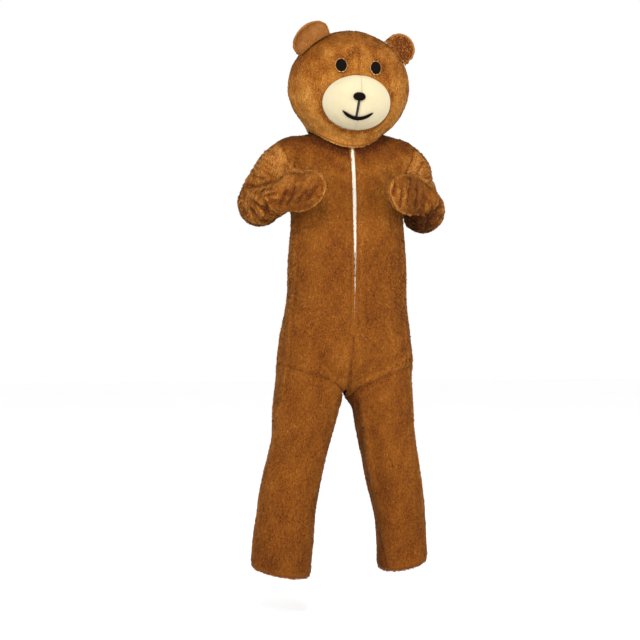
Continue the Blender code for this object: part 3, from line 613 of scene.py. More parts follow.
def fold_rise(key, p, n):
    """The small folds of one group, on what faces the front."""
    rise = np.zeros(len(p))
    for fold in FRONT_FOLDS.get(key, ()):
        x0, z0, x1, z1, width, height = np.array(fold) / 1000
        a, b, q = np.array((x0, z0)), np.array((x1, z1)), p[:, [0, 2]]
        t = np.clip((q - a) @ (b - a) / ((b - a) @ (b - a)), 0, 1)
        d = np.linalg.norm(q - a - t[:, None] * (b - a), axis=1)
        rise += height * hump(d, width) * np.clip(-n[:, 1] * 2 + 0.4, 0, 1)
    return rise


def sleeve_wrinkles(side, p):
    """Wrinkles round a sleeve, evenly apart from the armhole to the wrist."""
    line = np.array(ARM_LINE[side])
    start, way = line[:-1], np.diff(line, axis=0)
    long = np.linalg.norm(way, axis=1)
    t = np.clip(((p[:, None] - start) * way).sum(2) / long**2, 0, 1)
    gap = np.linalg.norm(p[:, None] - start - t[..., None] * way, axis=2)
    share = np.exp(-(gap - gap.min(1, keepdims=True)) / 0.010)
    along = (share * (np.cumsum(long) - long + t * long)).sum(1) / share.sum(1)
    turn = along / 0.0170 + 0.35 * waves(p, 0.060, 61)
    deep = 0.0048 - 0.0006 * hump(along - 0.18, 0.055)
    deep *= np.clip((along - 0.005) / 0.03, 0.3, 1)
    return deep * gathered(turn, 1) * np.clip(0.75 + 0.45 * waves(p, 0.070, 62), 0.3, 1.1)


def lie_of(node, p, n, apart):
    """How far the cloth stands out from its form at each point."""
    kind, side = node.rsplit('_', 1)
    rise = 0.0010 * waves(p, 0.110, 3, (1, 1, 0.6)) + 0.0007 * waves(p, 0.045, 5, (1, 1, 0.7))
    if kind.startswith(('sleeve', 'mitt')):
        rise += 1.2 * fold_rise('arm_' + side, p, n) + pleat_rise(side, p, n) + 0.0006 * waves(p, 0.022, 7)
    if kind.startswith('sleeve'):
        rise += sleeve_wrinkles(side, p) * (1 - 0.82 * np.clip(-n[:, 1] * 2.5, 0, 1))
    if kind.startswith('mitt'):
        rise += 0.0022 * hump(apart - 0.006, 0.0045)
    if kind in ('front', 'back', 'leg_front', 'leg_back'):
        rise += 0.0009 * hump(apart - 0.014, 0.007) + fold_rise('body', p, n)
    rise += fold_rise(node, p, n)
    return rise - 0.0010 * hump(apart, 0.006)      # drawn in at the seams


# ------------------------------------------------------------------- the pile
# How far the pile parts at the sewing of each sort of piece.
PARTED = {'front': 0.40, 'back': 0.32, 'leg': 0.44, 'sleeve': 0.22, 'mitt': 0.4,
          'face': 0.42, 'nape': 0.35, 'ear': 0.3, 'zip': 0.0}
# The suit's tone by height: darker at the belly and down the legs.
TONE_DOWN = (
    # z, tone
    (-1.30, -1.2), (-1.00, -0.6), (-0.80, -0.5), (-0.70, -0.1), (-0.55, -0.9), (-0.40, -0.9), (-0.30, 0.0))
# The inner edge of the left leg, z and x.
INNER_LEG = ((-1.330, 0.118), (-1.060, 0.062), (-0.800, 0.016))


def by_table(v, table):
    """What a table of pairs gives at each value."""
    return np.interp(v, *np.array(table).T)


def painted_light_and_tone(piece, p, apart):
    """Painted light and shade on the pile, and where its tone is darker or fairer, in parts of its tone."""
    x, z = p[:, 0], p[:, 2]
    wide, flat = np.abs(x), p * (1, 0, 1)
    tone = np.zeros(len(p))
    if piece.startswith(('front', 'back')):      # painted shade on the shoulders under the head, patches above, painted light beside the mitts lifting their shadow
        tone -= 2.4 * ramp(z, -0.090, 0.05) + 0.9 * waves(p, 0.050, 91) * ramp(z, -0.20, 0.08)
        tone += (2.3 + 4.0 * x) * np.exp(-((wide - 0.105) / 0.055)**2 - ((z + 0.190) / 0.10)**2)
    if piece.startswith(('front', 'back', 'leg')):
        tone += by_table(z, TONE_DOWN)
    if piece.startswith('front'):      # shade under the rim of the head
        tone -= 8.0 * hump(near_border(head_rim, flat)[0], 0.018)
    if piece.startswith(('front', 'back', 'sleeve')):      # painted light about the armholes
        tone += 2.3 * ramp(wide, 0.105, 0.08) * ramp(-z, 0.015, 0.05) * ramp(z, -0.155, 0.05)
    if piece.startswith('sleeve'):      # painted highlight on the sleeve above the elbow
        tone += 2.2 * ramp(wide, 0.170, 0.04) * np.clip((z + 0.175) / 0.04, 0.3, 1)
    if piece.startswith('mitt_thumb'):      # painted light on its outer side, painted shade on the side of the body's middle
        tone += np.clip(-(x + 0.187) * 900, -3.5, 5.5)
    if piece.startswith('mitt'):      # fairer all over, with a painted highlight along the raised edge
        tone += 0.4 + 2.4 * hump(apart - 0.005, 0.004)
    if piece.startswith('sleeve') and piece.endswith('left'):      # painted shadow below the forearm
        tone -= 6.0 * ramp(-z, 0.208, 0.015) * ramp(-x, -0.272, 0.03)
    if piece.startswith(('face', 'nape')):      # darker towards the crown in patches, fairer at the chin, painted shade beside the muzzle, most below it
        tone -= 2.6 * ramp(z, 0.120, 0.08) - 1.2 * waves(p, 0.055, 92)
        tone += 0.4 * ramp(-z, -0.110, 0.06)
        beside = hump(near_border(muzzle_edge, flat)[0], 0.0050)
        tone -= 3.5 * beside * np.clip((0.13 - z) / 0.04, 0.2, 1)
    if piece.endswith('left') and piece.startswith('leg'):      # painted shade inside the leg
        tone -= 4.5 * ramp(by_table(z, INNER_LEG) - x, 0, 0.006)
    # Painted shade on the front of the left ear, which is hollowed away from the light, and painted light on
    # the front of the right ear.
    return tone + {'ear_front_left': -5.2, 'ear_front_right': 1.2}.get(piece, 0.0)


def nap_of(piece, p, n):
    """The way the pile lies."""
    way = np.zeros_like(p)
    way[:, 2] = -1.0
    if piece.startswith(('sleeve', 'mitt')):
        way += np.array((0.0, -0.6, -0.2))
    if piece.startswith(('face', 'nape', 'ear')):
        out = p - np.array((0.0, -0.03, 0.15))
        way += 3.0 * out * np.array((1, 1, 0))
    return unit(way - n * (way * n).sum(1)[:, None])


def rooted(mesh, thick, rng):
    """Where the locks stand: which three points of the mesh each is between,
    and its share of each of them."""
    mesh.calc_loop_triangles()
    corners = np.empty(len(mesh.loop_triangles) * 3, dtype=np.int64)
    mesh.loop_triangles.foreach_get('vertices', corners)
    corners = corners.reshape(-1, 3)
    p = points_of(mesh)
    a, b, c = (p[corners[:, k]] for k in range(3))
    total = np.cumsum(np.linalg.norm(np.cross(b - a, c - a), axis=1) / 2)
    count = int(total[-1] * DENSITY * thick)
    pick = np.searchsorted(total, (np.arange(count) + rng.random(count)) / count * total[-1])
    pick = corners[np.minimum(pick, len(total) - 1)]
    u, v = np.sqrt(rng.random(count)), rng.random(count)
    return pick, np.stack([1 - u, u * (1 - v), u * v], axis=1)[:, :, None]


def lock_mesh(name, shape):
    """A mesh of locks: each is two faces on four points, from root to tip."""
    count = len(shape)
    points = shape.reshape(-1, 3)
    start = np.arange(count)[:, None] * 4
    faces = np.concatenate([start + (0, 1, 2), start + (1, 3, 2)], axis=1).reshape(-1, 3)
    made = bpy.data.meshes.new(name)
    made.vertices.add(len(points))
    made.loops.add(faces.size)
    made.polygons.add(len(faces))
    made.vertices.foreach_set('co', points.astype(np.float32).ravel())
    made.loops.foreach_set('vertex_index', faces.astype(np.int32).ravel())
    made.polygons.foreach_set('loop_start', (np.arange(len(faces)) * 3).astype(np.int32))
    made.update(calc_edges=True)
    made.polygons.foreach_set('use_smooth', np.ones(len(faces), dtype=bool))
    # Laid flat, each lock has a square of its own.
    across = math.ceil(math.sqrt(count))
    cell = np.stack([np.arange(count) % across, np.arange(count) // across], axis=1)[:, None, :]
    spots = np.array(((0.5, 0.1), (0.1, 0.5), (0.9, 0.5), (0.5, 0.9)))[None]
    uv = ((cell + spots) / across).reshape(-1, 2)[faces.ravel()]
    made.uv_layers.new(name='OFBake').uv.foreach_set('vector', uv.astype(np.float32).ravel())
    return made


def grow_pile(piece, skin, rise_of_skin, finish, seed, level_edge=None, long=LOCK_LONG, wide=LOCK_WIDE,
              thick=1.0):
    """Locks of pile all over a skin, shorter and parted along its sewing."""
    rng = np.random.default_rng(seed)
    pick, share = rooted(skin.data, thick, rng)
    root = (points_of(skin.data)[pick] * share).sum(1)
    up = unit((normals_of(skin.data)[pick] * share).sum(1))
    folded = (rise_of_skin[pick][:, :, None] * share).sum(1)[:, 0]
    count = len(root)
    apart, to_seam = near_border(tree_of(line_of_border(skin.data)), root)
    to_seam = unit(to_seam)
    seam = hump(apart, 0.0034) * PARTED[piece.split('_')[0]]
    brim, reach, groove_shade = np.zeros(count), np.ones(count), np.zeros(count)
    if level_edge is not None:      # a groove of short pile over the row of stitches, with shade painted into it
        far, _ = near_border(level_edge, root)
        above = far - STITCHED
        seam = np.maximum(np.where(far < 0.003, 0.0, seam), 1.2 * hump(above - 0.0014, 0.0018))
        brim = hump(far, 0.0042)
        groove_shade = 7.0 * np.exp(-((above - 0.0014) / 0.0021)**4)
        reach = np.where(above > -0.0006, 0.0022, 1.0)
        reach = np.where(above > 0.0034, np.maximum(above - 0.0016, 0.0018), reach)
    by_zip = 1.0 * (piece.startswith('front') & (np.abs(root[:, 0]) < 0.024) & (root[:, 2] > -0.60))
    seam = seam * (1 - by_zip)
    edge = hump(apart, 0.005) * by_zip

    # Which way each lock lies, how far it stands up, and how long it is.
    stray = rng.normal(size=(count, 3))
    way = nap_of(piece, root, up)
    for size, much, first in ((0.030, 0.30, 11), (0.010, 0.20, 21)):
        way += much * np.stack([waves(root, size, first + k) for k in range(3)], axis=1)
    way += 0.28 * stray - 1.2 * seam[:, None] * to_seam - 0.35 * edge[:, None] * to_seam
    smooth = piece.startswith(('face', 'nape'))
    rise = 0.36 - 0.08 * smooth + 0.09 * waves(root, 0.013, 31) + 0.09 * rng.normal(size=count) - 0.22 * seam
    length = long * (1 + 0.15 * rng.normal(size=count) + 0.10 * waves(root, 0.02, 41)) * (1 - 0.45 * seam)
    length *= (1 - 0.3 * edge) * (1 - 0.45 * brim)
    if piece.startswith('ear'):
        length *= 1 - 0.75 * hump(apart, 0.006)
    way = unit(way - up * (way * up).sum(1)[:, None])
    side = np.cross(up, way)
    rise = np.clip(rise, 0.12, 1.1)[:, None]
    length = np.clip(np.minimum(length, reach), 0.0014, 1.5 * long)[:, None]
    broad = wide * (0.75 + 0.5 * rng.random(count))[:, None]

    # A lock rises from its root to its broad middle, and bends over to its tip.
    first = way * np.cos(rise + 0.22) + up * np.sin(rise + 0.22)
    second = way * np.cos(rise - 0.32) + up * np.sin(rise - 0.32)
    base = root - up * ROOTED
    middle = base + first * length * 0.48
    tilt = (0.28 - 0.14 * smooth) * stray[:, :1]
    roll = side * np.cos(tilt) + up * np.sin(tilt)
    made = lock_mesh(piece + '_pile', np.stack([
        base, middle - roll * broad / 2, middle + roll * broad / 2, middle + second * length * 0.52], axis=1))
    thing = object_of(piece + '_pile', made)

    # Shade painted into the valleys of the folds, and light onto their ridges.
    fold_shade = 3.6 if piece.startswith(('sleeve', 'mitt')) else 1.6
    grain = 0.7 if piece.startswith('ear') else 1.3
    tone = (0.26 * waves(root, 0.018, 51) + grain * rng.normal(size=count) - 2.2 * seam + 1.8 * brim - groove_shade
            + fold_shade * np.clip(folded / 0.0020, -2.0, 1.0) + painted_light_and_tone(piece, root, apart))
    for name, value in (('tip', np.tile((0.0, 0.55, 0.55, 1.0), count)),
                        ('tone', np.repeat(np.clip(tone, -7.0, 6.0), 4))):
        made.attributes.new(name, 'FLOAT', 'POINT').data.foreach_set('value', value.astype(np.float32))
    # Shaded nearly as the cloth below it is.
    flat = unit(np.cross(side, second))
    flat *= np.sign((flat * up).sum(1))[:, None]
    lean = unit(0.78 * up + 0.22 * flat)
    turns = (0 * lean, -0.22 * side, 0.22 * side, 0.18 * way)
    normals = np.stack([unit(lean + turn) for turn in turns], axis=1)
    made.normals_split_custom_set_from_vertices(normals.reshape(-1, 3))
    made.materials.append(finish)
    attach(thing, 'costume')
    return thing


# ------------------------------------------------------------- plush pieces
# The cut of each piece, laid flat: across, along and its area.
CUT = {
    # piece: (width, length, area)
    'front': (0.33, 0.85, 0.196), 'back': (0.33, 0.86, 0.188),
    'leg_front': (0.34, 0.68, 0.190), 'leg_back': (0.34, 0.68, 0.188),
    'sleeve_front': (0.26, 0.30, 0.052), 'sleeve_back': (0.28, 0.44, 0.090),
    'mitt_palm': (0.17, 0.22, 0.028), 'mitt_back': (0.18, 0.23, 0.031),
    'face': (0.30, 0.42, 0.082), 'nape': (0.34, 0.48, 0.110),
    'ear_front_right': (0.13, 0.10, 0.0090), 'ear_back_right': (0.15, 0.11, 0.0110),
    'ear_front_left': (0.10, 0.08, 0.0056), 'ear_back_left': (0.12, 0.09, 0.0066),
}
FINISHES = {
    'face': (head_pile, head_backing, 'head_plush'), 'nape': (head_pile, head_backing, 'head_plush'),
    'ear_front': (ear_pile, head_backing, 'ear_plush'), 'ear_back': (ear_pile, head_backing, 'ear_plush'),
}
LONG = {      # of the locks, where they aren't of the usual length
    'sleeve_front': 0.0068, 'sleeve_back': 0.0068, 'mitt_palm': 0.0064, 'mitt_back': 0.0064,
    'face': 0.0066, 'nape': 0.0066, 'ear_front': 0.0060, 'ear_back': 0.0060,
}
# Below these heights lie the hems and the rim of the head.
LOW_EDGES = {'leg_front': -1.30, 'leg_back': -1.30, 'face': 0.045, 'nape': 0.045}


def shaped_skin(node, levels, borders=None):
    """The backing of a plush piece at its place, as one sheet, and its lie."""
    kind = node.rsplit('_', 1)[0]
    skin = copy_of(node, node + '_cloth')
    keep_outside(skin, {'ear_front': (0, -1, 0), 'ear_back': (0, 1, 0)}.get(kind))
    apply(skin, 'SUBSURF', levels=levels, render_levels=levels, boundary_smooth='PRESERVE_CORNERS')
    p, n = points_of(skin.data), normals_of(skin.data)
    apart, _ = near_border(tree_of(line_of_border(skin.data)), p)
    rise = lie_of(node, p, n, apart)
    move_points(skin.data, p + n * (rise - PILE)[:, None])
    if borders is not None:
        draw_together(node, skin, borders)
    return skin, rise


def sewn_group(node):
    """The pieces that are sewn to each other have one group."""
    return 'head' if node.startswith(('face', 'nape')) else 'ear' if node.startswith('ear') else 'suit'


def draw_together(node, skin, borders):
    """Brings the edges of a piece to the edges that it is sewn to."""
    others = [q for other, line in borders.items()
              if other != node and sewn_group(other) == sewn_group(node) for q in line]
    tree = tree_of(others)
    bm = bmesh.new()
    bm.from_mesh(skin.data)
    for vert in bm.verts:
        if vert.is_boundary:
            spot, _, gap = tree.find(vert.co)
            if gap < 0.0100:
                vert.co = vert.co.lerp(spot, 0.5)
    bm.to_mesh(skin.data)
    bm.free()


def level_edges(mesh, below):
    """The open edges that run level below a height: middle, way along, way
    into the cloth and length of each."""
    bm = bmesh.new()
    bm.from_mesh(mesh)
    found = []
    for edge in bm.edges:
        a, b = edge.verts[0].co, edge.verts[1].co
        if edge.is_boundary and max(a.z, b.z) < below and abs(a.z - b.z) < 0.6 * (a - b).length:
            along, middle = (b - a).normalized(), (a + b) / 2
            inward = edge.link_faces[0].calc_center_median() - middle
            inward = (inward - along * inward.dot(along)).normalized()
            found.append((middle, along, inward, (b - a).length))
    bm.free()
    return found


def repeated(name, one, places, finish, node=None):
    """Copies of one small shape, joined: each place is a matrix."""
    p = points_of(one.data)
    points = np.concatenate([np.c_[p, np.ones(len(p))] @ np.array(m).T for m in places])[:, :3]
    faces = [tuple(v + i * len(p) for v in f.vertices) for i in range(len(places)) for f in one.data.polygons]
    made = bpy.data.meshes.new(name)
    made.from_pydata(points.tolist(), [], faces)
    dress(object_of(name, made), finish, node, crisp=50)


def frame_at(spot, along, out):
    """A matrix that stands a shape at a spot, its x along and its z out."""
    along, out = Vector(along).normalized(), Vector(out).normalized()
    across = out.cross(along).normalized()
    along = across.cross(out)
    return Matrix(((along.x, across.x, out.x, spot[0]), (along.y, across.y, out.y, spot[1]),
                   (along.z, across.z, out.z, spot[2]), (0, 0, 0, 1)))


def one_stitch(long, thick):
    """A stitch of thread, plump in its middle, its ends drawn down."""
    thing = started(bpy.ops.mesh.primitive_cylinder_add, vertices=6, radius=thick / 2, depth=long,
                    rotation=(0, math.pi / 2, 0))
    bpy.ops.object.mode_set(mode='EDIT')
    bpy.ops.mesh.select_all(action='SELECT')
    bpy.ops.mesh.subdivide(number_cuts=2, quadcorner='INNERVERT')
    bpy.ops.object.mode_set(mode='OBJECT')
    p = points_of(thing.data)
    ends = np.abs(p[:, 0]) / (long / 2)
    p[:, 1:] *= (1 - 0.55 * ends**3)[:, None]
    p[:, 2] -= 0.6 * thick * ends**2
    move_points(thing.data, p)
    return thing


plush_nodes = sorted(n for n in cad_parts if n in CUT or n.rsplit('_', 1)[0] in CUT)
borders = {}      # of the pieces before their edges are drawn together
for node in plush_nodes:
    skin, _ = shaped_skin(node, 2)
    borders[node] = line_of_border(skin.data)
    bpy.data.objects.remove(skin)
head_rim = tree_of([Vector((q.x, 0, q.z)) for side in ('right', 'left') for q in borders['face_' + side]
                    if q.z < LOW_EDGES['face']])
muzzle_edge = tree_of([Vector((q.x, 0, q.z)) for side in ('right', 'left')
                       for q in along_edges(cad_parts['muzzle_' + side].data)])
hem_places, rim_places = [], []
for seed, node in enumerate(plush_nodes):
    kind = node.rsplit('_', 1)[0]
    pile, cloth, slot = FINISHES.get(kind, (suit_pile, suit_backing, 'suit_plush'))
    fine, rise = shaped_skin(node, 3, borders)
    edge_tree = None
    if kind in LOW_EDGES:
        edge_tree = tree_of([middle + along * length * t for t in (-0.3, 0.0, 0.3)
                             for middle, along, _, length in level_edges(fine.data, LOW_EDGES[kind])])
    hair = grow_pile(node, fine, rise, pile, 100 + seed, edge_tree, LONG.get(kind, LOCK_LONG))
    bpy.data.objects.remove(fine)
    skin, _ = shaped_skin(node, 2, borders)
    if kind in LOW_EDGES:
        surface = surface_of(skin.data)
        for middle, along, inward, length in level_edges(skin.data, LOW_EDGES[kind]):
            spot, out, _, _ = surface.find_nearest(middle + inward * STITCHED)
            place = frame_at(spot + out * 0.0014, along, out)
            (hem_places if kind.startswith('leg') else rim_places).append(place)
    apply(skin, 'SOLIDIFY', thickness=CLOTH, offset=-1)
    dress(skin, cloth, node)
    width, length, area = CUT[node] if node in CUT else CUT[kind]


def pick_faces(thing, wanted):
    """In edit mode, selects only the faces that a rule wants."""
    bpy.ops.mesh.select_all(action='DESELECT')
    bm = bmesh.from_edit_mesh(thing.data)
    for face in bm.faces:
        if wanted(face):
            face.select_set(True)
    bmesh.update_edit_mesh(thing.data)


# The tip of the thumb, which stands up behind the mitt of the right hand.
thumb = started(bpy.ops.mesh.primitive_cone_add, (1.0, 0.72, 1.0), vertices=14, radius1=0.0130,
                radius2=0.0042, depth=0.050, location=(-0.1875, -0.119, -0.107))
thumb.name = 'mitt_thumb_right_cloth'
bpy.ops.object.mode_set(mode='EDIT')
pick_faces(thumb, lambda face: face.normal.z < -0.9)
bpy.ops.mesh.delete(type='ONLY_FACE')
bpy.ops.object.mode_set(mode='OBJECT')
apply(thumb, 'SUBSURF', levels=2, render_levels=2)
hair = grow_pile('mitt_thumb_right', thumb, np.zeros(len(thumb.data.vertices)), suit_pile,
                 201, None, 0.0058, 0.0030, 1.4)
apply(thumb, 'SOLIDIFY', thickness=CLOTH, offset=-1)
dress(thumb, suit_backing)

stitch = one_stitch(0.0042, 0.0011)
repeated('hem_stitches', stitch, hem_places, brown_thread)
repeated('rim_stitches', stitch, rim_places, brown_thread)


# -------------------------------------------------------------------- the face
def pad(node, finish, beside=None):
    """A stuffed piece with the form of its solid, its edges rounded, except
    where it is sewn to the piece beside it."""
    thing = copy_of(node, node + '_pad')
    if beside is not None:
        other = tree_of([v.co.copy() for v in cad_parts[beside].data.vertices])
        close = [other.find(v.co)[2] < 0.0008 for v in thing.data.vertices]
        crease = thing.data.attributes.new('crease_edge', 'FLOAT', 'EDGE')
        bm = bmesh.new()
        bm.from_mesh(thing.data)
        sharp = [e.calc_face_angle(0) > math.radians(45) for e in bm.edges]
        bm.free()
        for edge, is_sharp in zip(thing.data.edges, sharp):
            if is_sharp and all(close[v] for v in edge.vertices):
                crease.data[edge.index].value = 1.0
    apply(thing, 'SUBSURF', levels=2, render_levels=2)
    dress(thing, finish, node)
    return thing


def outline_of(things, count, inset):
    """Places along the outline of a convex pad as it is seen from its front,
    so far in from the edge: the spots, the ways along and the way out."""
    p = np.concatenate([points_of(thing.data) for thing in things])
    n = np.concatenate([normals_of(thing.data) for thing in things])
    out = unit(n[n[:, 1] < -0.3].mean(0))
    level = unit(np.cross((0, 0, 1), out))
    rise = np.cross(out, level)
    spots = []
    for k in range(count):
        angle = 2 * math.pi * k / count
        way = level * math.cos(angle) + rise * math.sin(angle)
        spots.append(p[(p @ way).argmax()] - way * inset)
    spots = np.array(spots)
    spots = (np.roll(spots, 1, 0) + 2 * spots + np.roll(spots, -1, 0)) / 4
    return spots, unit(np.roll(spots, -1, 0) - np.roll(spots, 1, 0)), out


# The two halves of the muzzle, drawn in along the seam between them.
muzzle = [pad('muzzle_right', cream_fleece, 'muzzle_left'),
          pad('muzzle_left', cream_fleece, 'muzzle_right')]
halves = [tree_of([v.co.copy() for v in thing.data.vertices]) for thing in muzzle]
for thing, other in zip(muzzle, reversed(halves)):
    p, n = points_of(thing.data), normals_of(thing.data)
    gap, _ = near_border(other, p)
    rise = 0.0006 * waves(p, 0.045, 71) - 0.0006 * hump(gap, 0.0045)
    front = np.clip(-n[:, 1] * 1.5, 0, 1)
    front_out = unit(n * np.array((0.15, 1, 1)))
    move_points(thing.data, p + front_out * (rise * front)[:, None])
nose = pad('nose', black_felt)
eyes = [pad('eye_' + side, eye_felt) for side in ('right', 'left')]

mouth = copy_of('mouth', 'mouth_felt')
apply(mouth, 'SUBSURF', levels=2, render_levels=2)
dress(mouth, black_felt, 'mouth')

# An overcast edge of thread round each eye. Round the muzzle run a row of
# stitches, a little in from its edge, and the cord of thread that sews it down.
for thing, side in zip(eyes, ('right', 'left')):
    spots, along, out = outline_of([thing], 52, -0.0004)
    whip = one_stitch(0.0030, 0.0015)
    across = np.cross(out, along)
    repeated('eye_edge_' + side, whip, [frame_at(q - out * 0.0002, w, out) for q, w in zip(spots, across)],
             tan_thread)
    bpy.data.objects.remove(whip)
fleece = BVHTree.FromPolygons([v.co for thing in muzzle for v in thing.data.vertices],
                              [[i + k * len(muzzle[0].data.vertices) for i in f.vertices]
                               for k, thing in enumerate(muzzle) for f in thing.data.polygons])
spots, along, out = outline_of(muzzle, 120, 0.0030)
places = []
for q, w in zip(spots, along):
    hit, normal, _, _ = fleece.ray_cast(Vector(q + out * 0.06), Vector(-out))
    if hit is not None:
        places.append(frame_at(hit + normal * 0.0001, w, normal))
repeated('muzzle_stitches', stitch, places, cream_thread)
spots, along, out = outline_of(muzzle, 150, -0.0004)
binding = one_stitch(0.0044, 0.0026)
places = [frame_at(q + out * 0.0020, w, out) for q, w in zip(spots, along) if q[2] < 0.125]
repeated('muzzle_seam', binding, places, brown_thread)

# A worked line from the nose down to the mouth, of stitches laid side by side.
nose_low, nose_high = (Vector(c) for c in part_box('nose'))
nose_middle = (nose_low.x + nose_high.x) / 2
mouth_top = max(v.co.z for v in mouth.data.vertices if abs(v.co.x - nose_middle) < 0.006)
places = []
for z in np.arange(nose_low.z + 0.001, mouth_top - 0.001, -0.0011):
    middle = nose_middle - 0.10 * (nose_low.z - z)
    (hit, out, _, _), (other, other_out, _, _) = (
        fleece.ray_cast(Vector((middle + x, -0.45, z)), Vector((0, 1, 0))) for x in (-0.0024, 0.0024))
    places.append(frame_at((hit + other) / 2 + out * 0.0010, (1, 0, 0), out + other_out))
bar = one_stitch(0.0080, 0.0018)
repeated('nose_line', bar, places, black_thread)
for thing in (stitch, binding, bar):
    bpy.data.objects.remove(thing)

# --------------------------------------------------------------------- the zip
TAPE_OFF = 0.0048      # from the middle of the zip to the middle of each tape
ZIP_MIDDLE = ((-0.620, -0.0050), (-0.550, -0.0030), (-0.490, -0.0010), (-0.380, 0.0), (0.040, 0.0))   # z, x
# How wide the zip shows between the turned edges of the fronts.
ZIP_SHOWS = (
    # z, width
    (-0.640, 0.0), (-0.580, 0.0), (-0.534, 0.0012), (-0.474, 0.0030), (-0.414, 0.0050),
    (-0.335, 0.0080), (-0.250, 0.0104), (-0.210, 0.0115), (-0.084, 0.0115), (0.0, 0.0075), (0.030, 0.0070))
# A tape and a turned edge across: the place from the middle of the zip, and
# the height above the solid tape. Beyond the slit the tape runs under the front.
TAPE_ACROSS = (
    (0.0011, -0.0004), (0.0024, -0.0002), (0.0036, 0.0), (0.0050, 0.0001), (0.0060, -0.0004),
    (0.0067, -0.0020), (0.0072, -0.0034), (0.0084, -0.0040), (0.0110, -0.0040))
EDGE_ACROSS = (
    (0.0, 0.0014), (0.0030, 0.0013), (0.0044, 0.0008), (0.0064, 0.0004), (0.0074, -0.0009), (0.0092, -0.0012))


def zip_x(z):
    """The middle of the zip at a height."""
    return float(by_table(z, ZIP_MIDDLE))


def zip_line(node, off=0.0):
    """Points down the front of a strip of the zip, each with its way out."""
    surface = surface_of(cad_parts[node].data)
    low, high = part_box(node)
    line = []
    for z in np.arange(high[2] - 0.0006, low[2] + 0.0004, -0.0012):
        hit, normal, _, _ = surface.ray_cast(Vector((zip_x(z) + off, -0.5, z)), Vector((0, 1, 0)))
        if hit is not None and normal.y < -0.5:
            line.append((np.array(hit), np.array(normal)))
    return line


def strip(name, rows, s):
    """A strip of cloth through rows of points, its face to the front."""
    wide = len(rows[0])
    corners = [(i * wide + k, i * wide + k + 1, (i + 1) * wide + k + 1, (i + 1) * wide + k)[::s]
               for i in range(len(rows) - 1) for k in range(wide - 1)]
    made = bpy.data.meshes.new(name)
    made.from_pydata([q for row in rows for q in row], [], corners)
    made.update()
    if made.polygons[0].normal.y > 0:
        made.flip_normals()
    return object_of(name, made)


def zip_tape(side, s):
    """One woven tape: flat beside the teeth, its outer edge sewn down."""
    node = 'zip_tape_' + side
    rows = []
    for hit, out in zip_line(node, s * TAPE_OFF)[::5]:
        sway = 0.0002 * math.sin(hit[2] * 110)
        rows.append([(zip_x(hit[2]) + s * x, *(hit + out * (lift + sway - 0.0001))[1:])
                     for x, lift in TAPE_ACROSS])
    thing = strip(node + '_cloth', rows, s)
    apply(thing, 'SOLIDIFY', thickness=0.0006, offset=-1)
    dress(thing, zip_cloth, node, crisp=40)


def zip_edge(side, s):
    """The turned edge of the front beside the zip, with its short pile: the
    two edges lie apart above and close over the zip below."""
    line = zip_line('zip_tape_' + side, s * TAPE_OFF)[::4]
    step = line[-1][0] - line[-2][0]
    line += [(line[-1][0] + step * k, line[-1][1]) for k in range(1, 7)]
    rows = []
    for hit, out in line:
        inner = max(by_table(hit[2], ZIP_SHOWS) / 2, 0.0001)
        rows.append([(zip_x(hit[2]) + s * x, *(hit + out * by_table(x, EDGE_ACROSS))[1:])
                     for x in np.linspace(0.0092, inner, 6)])
    thing = strip('zip_edge_' + side, rows, s)
    hair = grow_pile(thing.name, thing, np.full(len(thing.data.vertices), 0.0006), suit_pile,
                     301, None, 0.0048, 0.0019, 5.0)
    apply(thing, 'SOLIDIFY', thickness=0.0004, offset=-1)
    dress(thing, suit_backing)


def block(size, at, bevel, segments):
    """A small block with rounded edges."""
    thing = started(bpy.ops.mesh.primitive_cube_add, size, size=1, location=at)
    apply(thing, 'BEVEL', width=bevel, segments=segments)
    return thing


tooth = block((0.0032, 0.0012, 0.0019), (0, 0, 0), 0.00018, 1)
for s, side in ((-1, 'right'), (1, 'left')):
    zip_tape(side, s)
    zip_edge(side, s)
chain = zip_line('zip_chain')
for s, side, first in ((-1, 'right', 0), (1, 'left', 1)):
    places = []
    for hit, out in chain[first::2]:
        # Each tooth reaches a little past the middle.
        down = np.cross(out, (1, 0, 0))
        spot = hit - out * 0.0011 + np.array((s * 0.0008, 0, 0))
        places.append(Matrix(((s, s * down[0], out[0], spot[0]), (0, s * down[1], out[1], spot[1]),
                              (0, s * down[2], out[2], spot[2]), (0, 0, 0, 1))))
    repeated('zip_teeth_' + side, tooth, places, zip_plastic, 'zip_chain')
bpy.data.objects.remove(tooth)

# The slider and its tab, made upright about the pin and then laid on the chest.
PIN = Vector((-0.0000719, -0.0791326, 0.0068971))
LEAN = math.atan2(0.0060, 0.0234)      # of the chest, back towards the neck
ON_CHEST = Matrix.Translation(PIN) @ Matrix.Rotation(-LEAN, 4, 'X')


def finish_metal(parts, name, node, body):
    """Joins the parts, lays them on the chest and paints them."""
    only(*parts)
    bpy.ops.object.join()
    thing = bpy.context.object
    thing.name = name
    thing.data.transform(ON_CHEST)
    dress(thing, zip_paint, node, body, crisp=35)


